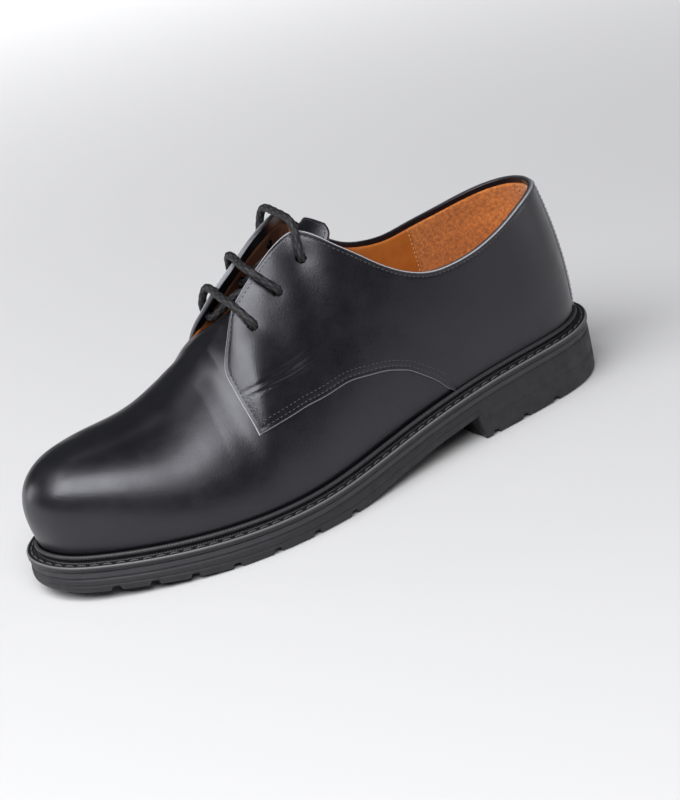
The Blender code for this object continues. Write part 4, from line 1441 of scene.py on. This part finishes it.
def make_welt():
    """Ribbed bead over a recess, a notched flat in front of it and its stitches."""
    s, along = round_stations(WELT_STATIONS)
    rows, glow = [], []
    for inset, level in WELT_PROFILE:
        roll = (level > 1.5) * (inset < 5.9)
        recess = (inset > 4.4) * (-0.3 < level < 1.5) * (inset < 5.2)
        flat = smooth(inset, 1.0, 1.8) * (1 - smooth(inset, 4.2, 4.7)) * (level < 0.2)
        wave = np.sin(2 * np.pi * along / RIB_PITCH)
        cuts = 0.40 * flat * np.clip(np.sin(2 * np.pi * along / NOTCH_PITCH) - 0.5, 0, 1)
        xy = edge(s, inset - (0.05 * roll + 0.16 * recess) * wave)
        rows.append(np.column_stack([xy, rim(xy[:, 0]) + level + 0.04 * roll * wave - cuts]))
        # Painted highlight: a light line on the rounded outer edge and a fainter light on top of the
        # bead
        painted_edge_highlight = np.exp(-((inset - 0.32) / 0.3) ** 2) * (level > -0.7)
        glow.append(np.full(len(s), painted_edge_highlight + 0.10 * roll))
    points = np.stack(rows, axis=1)
    faces = grid_faces(len(s), len(WELT_PROFILE), wrap=True)
    build("welt_strip", points.reshape(-1, 3), faces, WELT, "welt", {"rim": np.stack(glow, 1)})
    places_s, _ = round_stations(4000)
    xy = edge(places_s, WELT_ROW)
    line = np.column_stack([xy, rim(xy[:, 0]) - 0.10])
    places, runs, _ = spaced(np.concatenate([line, line[:1]]), WELT_STITCH_PITCH)
    ups = np.repeat([[0.0, 0.0, 1.0]], len(places), axis=0)
    stitch_points, stitch_faces = stitch_mesh([(places, runs, ups)], *WELT_STITCH)
    return build("welt_stitches", stitch_points, stitch_faces, GREY_THREAD, "welt")


SOLE_STATIONS = 1500


def notch_rise(x):
    """How far the tread edge is cut up at each notch."""
    rise = np.zeros(np.shape(x))
    half = NOTCH_WIDTH / 2
    for share in NOTCHES:
        gap = np.abs(x - share * SOLE_LENGTH)
        rise = np.maximum(rise, NOTCH_DEPTH * (1 - smooth(gap, half - 0.6, half + 0.2)))
    return rise


def sole_columns():
    """Stations round the sole with a pair at the heel breast on each side."""
    side = np.concatenate([
        np.linspace(0, place(BREAST_SHARE), SOLE_STATIONS // 6),
        np.linspace(place(BREAST_SHARE + BREAST_SLOPE / SOLE_LENGTH), 1, SOLE_STATIONS // 3),
    ])
    return np.concatenate([side, 2 - side[1:-1][::-1]])


# Section of the sole from the rim to the tread: inset, then what the height
# starts from and how far it is off that. At mix it is a share between both.
SOLE_BAND = 7.2
SOLE_FOOT = 1.6
SOLE_PROFILE = (
    (WELT_INNER + 0.3, "rim", -0.05), (WELT_INNER + 0.3, "rim", -WELT_THICK - GAP),
    (1.7, "rim", -2.75), (1.0, "rim", -2.8), (0.75, "rim", -3.0), (0.62, "rim", -3.4),
    (0.6, "rim", -4.2), (0.62, "rim", -5.2), (0.7, "rim", -5.7), (1.0, "rim", -6.0),
    (1.05, "rim", -6.3), (0.7, "rim", -6.7), (0.45, "rim", -SOLE_BAND),
    (0.35, "mix", 0.30), (0.32, "mix", 0.48), (0.55, "mix", 0.50), (0.32, "mix", 0.52),
    (0.34, "mix", 0.75), (0.5, "under", SOLE_FOOT), (0.7, "under", 0.9), (1.1, "under", 0.35),
    (1.8, "under", 0.06), (2.6, "under", 0.0), (NOTCH_REACH - 0.3, "under", 0.0),
    (NOTCH_REACH + 0.2, "under", 0.0), (NOTCH_REACH + 1.0, "under", 0.0),
    (NOTCH_REACH + 2.5, "under", 0.0),
)


def make_sole():
    """Moulded sole: rim band, step, wall with a faint line, notched tread."""
    s = sole_columns()
    rows, glow = [], []
    for inset, kind, level in SOLE_PROFILE:
        xy = edge(s, inset)
        x = xy[:, 0]
        top = rim(x) - SOLE_BAND
        low = under(x)
        if kind == "rim":
            z = rim(x) + level
        elif kind == "mix":
            z = np.minimum(top + (low + SOLE_FOOT - top) * level, top)
        else:
            cut = np.clip(notch_rise(x) - level * 0.5, 0, None)
            z = np.minimum(low + level + np.where(inset < NOTCH_REACH, cut, 0.0), top)
        rows.append(np.column_stack([xy, z]))
        glow.append(np.full(len(s), 1.0 if kind == "rim" and -5.6 < level < -2.9 else 0.0))
    points = np.stack(rows, axis=1)
    count_u, count_v = points.shape[:2]
    faces = list(grid_faces(count_u, count_v, wrap=True))
    faces += cap_faces(count_u, count_v, 0) + cap_faces(count_u, count_v, -1)
    return build("sole", points.reshape(-1, 3), faces, SOLE, "outsole", {"rim": np.stack(glow, 1)})


# Section of the sock from its border inwards: inset, height over the rim
SOCK_STATIONS = 600
SOCK_INSET = FEATHER_INSET + WALL + 0.45
SOCK_PROFILE = (
    (0.0, 0.4), (0.0, INSOLE_THICK - 0.5), (0.25, INSOLE_THICK - 0.12), (0.8, INSOLE_THICK),
    (2.4, INSOLE_THICK - 0.1), (3.0, INSOLE_THICK), (12.0, INSOLE_THICK - 0.4),
)


def make_insole():
    """Sock of smooth tan leather over the inner sole."""
    s = round_stations(SOCK_STATIONS)[0]
    rows = []
    for inset, level in SOCK_PROFILE:
        xy = edge(s, SOCK_INSET + inset)
        rows.append(np.column_stack([xy, rim(xy[:, 0]) + level]))
    points = np.stack(rows, axis=1)
    count_u, count_v = points.shape[:2]
    faces = list(grid_faces(count_u, count_v, wrap=True)) + cap_faces(count_u, count_v, -1)
    return build("sock", points.reshape(-1, 3), faces, SMOOTH_TAN, "insole")


vamp = make_vamp()
make_quarters()
make_strip()
make_lining()
make_upper_stitches()
make_lining_stitches()
make_tongue(vamp)
make_laces()
make_welt()
make_sole()
make_insole()


def camera_axes():
    """Directions to the right, up and back of the camera."""
    azimuth, elevation, roll = np.radians([CAMERA_AZIMUTH, CAMERA_ELEVATION, CAMERA_ROLL])
    flat = np.cos(elevation)
    back = np.array([np.sin(azimuth) * flat, np.cos(azimuth) * flat, np.sin(elevation)])
    right = unit(np.cross(-back, (0.0, 0.0, 1.0)))
    up = np.cross(right, -back)
    turned = right * np.cos(roll) + up * np.sin(roll)
    upward = -right * np.sin(roll) + up * np.cos(roll)
    return turned, upward, back


def add_camera():
    turned, upward, back = camera_axes()
    eye = placed(np.array(CAMERA_TARGET) + back * CAMERA_DISTANCE)
    data = bpy.data.cameras.new("camera")
    data.lens = CAMERA_LENS
    data.clip_start = 0.01
    matrix = Matrix.Identity(4)
    for k, axis in enumerate((turned, upward, back)):
        for row in range(3):
            matrix[row][k] = axis[row]
    for row in range(3):
        matrix[row][3] = eye[row]
    scene.camera = add_object("camera", data)
    scene.camera.matrix_world = matrix


def add_light(name, at, aim, size, power, spread=180):
    data = bpy.data.lights.new(name, "AREA")
    data.shape = "RECTANGLE"
    data.size, data.size_y = size
    data.energy = power
    data.spread = np.radians(spread)
    made = add_object(name, data)
    made.location = at
    made.rotation_euler = (Vector(aim) - Vector(at)).to_track_quat("-Z", "Y").to_euler()


add_camera()

# Lights: azimuth and elevation of the lamp seen from the shoe, distance, width,
# height, watts. The big softbox gives the broad sheen of toe and lace flaps.
LIGHTS = {
    "softbox": (38, 52, 1.45, 2.00, 0.98, 39.0),
    "toe_rim": (-48, 10, 1.50, 0.35, 0.50, 2.5),
    "heel_rim": (150, 8, 1.50, 0.16, 0.50, 1.6),
}
LIGHT_AIM = Vector((0.02, 0.0, 0.05))
for name, (azimuth, elevation, distance, width, height, power) in LIGHTS.items():
    a, e = np.radians([azimuth, elevation])
    toward = Vector((np.cos(a) * np.cos(e), np.sin(a) * np.cos(e), np.sin(e)))
    add_light(name, LIGHT_AIM + toward * distance, LIGHT_AIM, (width, height), power)

# Narrow beams straight down keep the floor pale round the shoe and miss it
BEAM_HEIGHT = 1.70
BEAM_SIZE = 1.7
BEAM_POWER = 20.0
BEAM_SPREAD = 76
FLOOR_BEAMS = {
    "floor_back": (-0.80, -1.85),
    "floor_left": (1.45, -1.30),
    "floor_right": (-2.10, -0.60),
}
for name, (x, y) in FLOOR_BEAMS.items():
    size = (BEAM_SIZE, BEAM_SIZE)
    add_light(name, (x, y, BEAM_HEIGHT), (x, y, 0.0), size, BEAM_POWER, BEAM_SPREAD)

world = bpy.data.worlds.new("studio")
world.use_nodes = True
background = world.node_tree.nodes["Background"]
background.inputs["Color"].default_value = (0.90, 0.93, 1.0, 1)
background.inputs["Strength"].default_value = 0.07
scene.world = world
scene.view_settings.view_transform = "Standard"

floor_mesh = bpy.data.meshes.new("floor")
floor_mesh.from_pydata([(-9, -9, 0), (9, -9, 0), (9, 9, 0), (-9, 9, 0)], [], [(0, 1, 2, 3)])
floor = add_object("floor", floor_mesh)
floor.location.z = -0.0002
floor_look = Shader("floor_paper", (0.67, 0.67, 0.68), 0.85)
floor_look.bump(floor_look.noise(8.0, 3.0), 0.05)
floor_mesh.materials.append(floor_look.material)
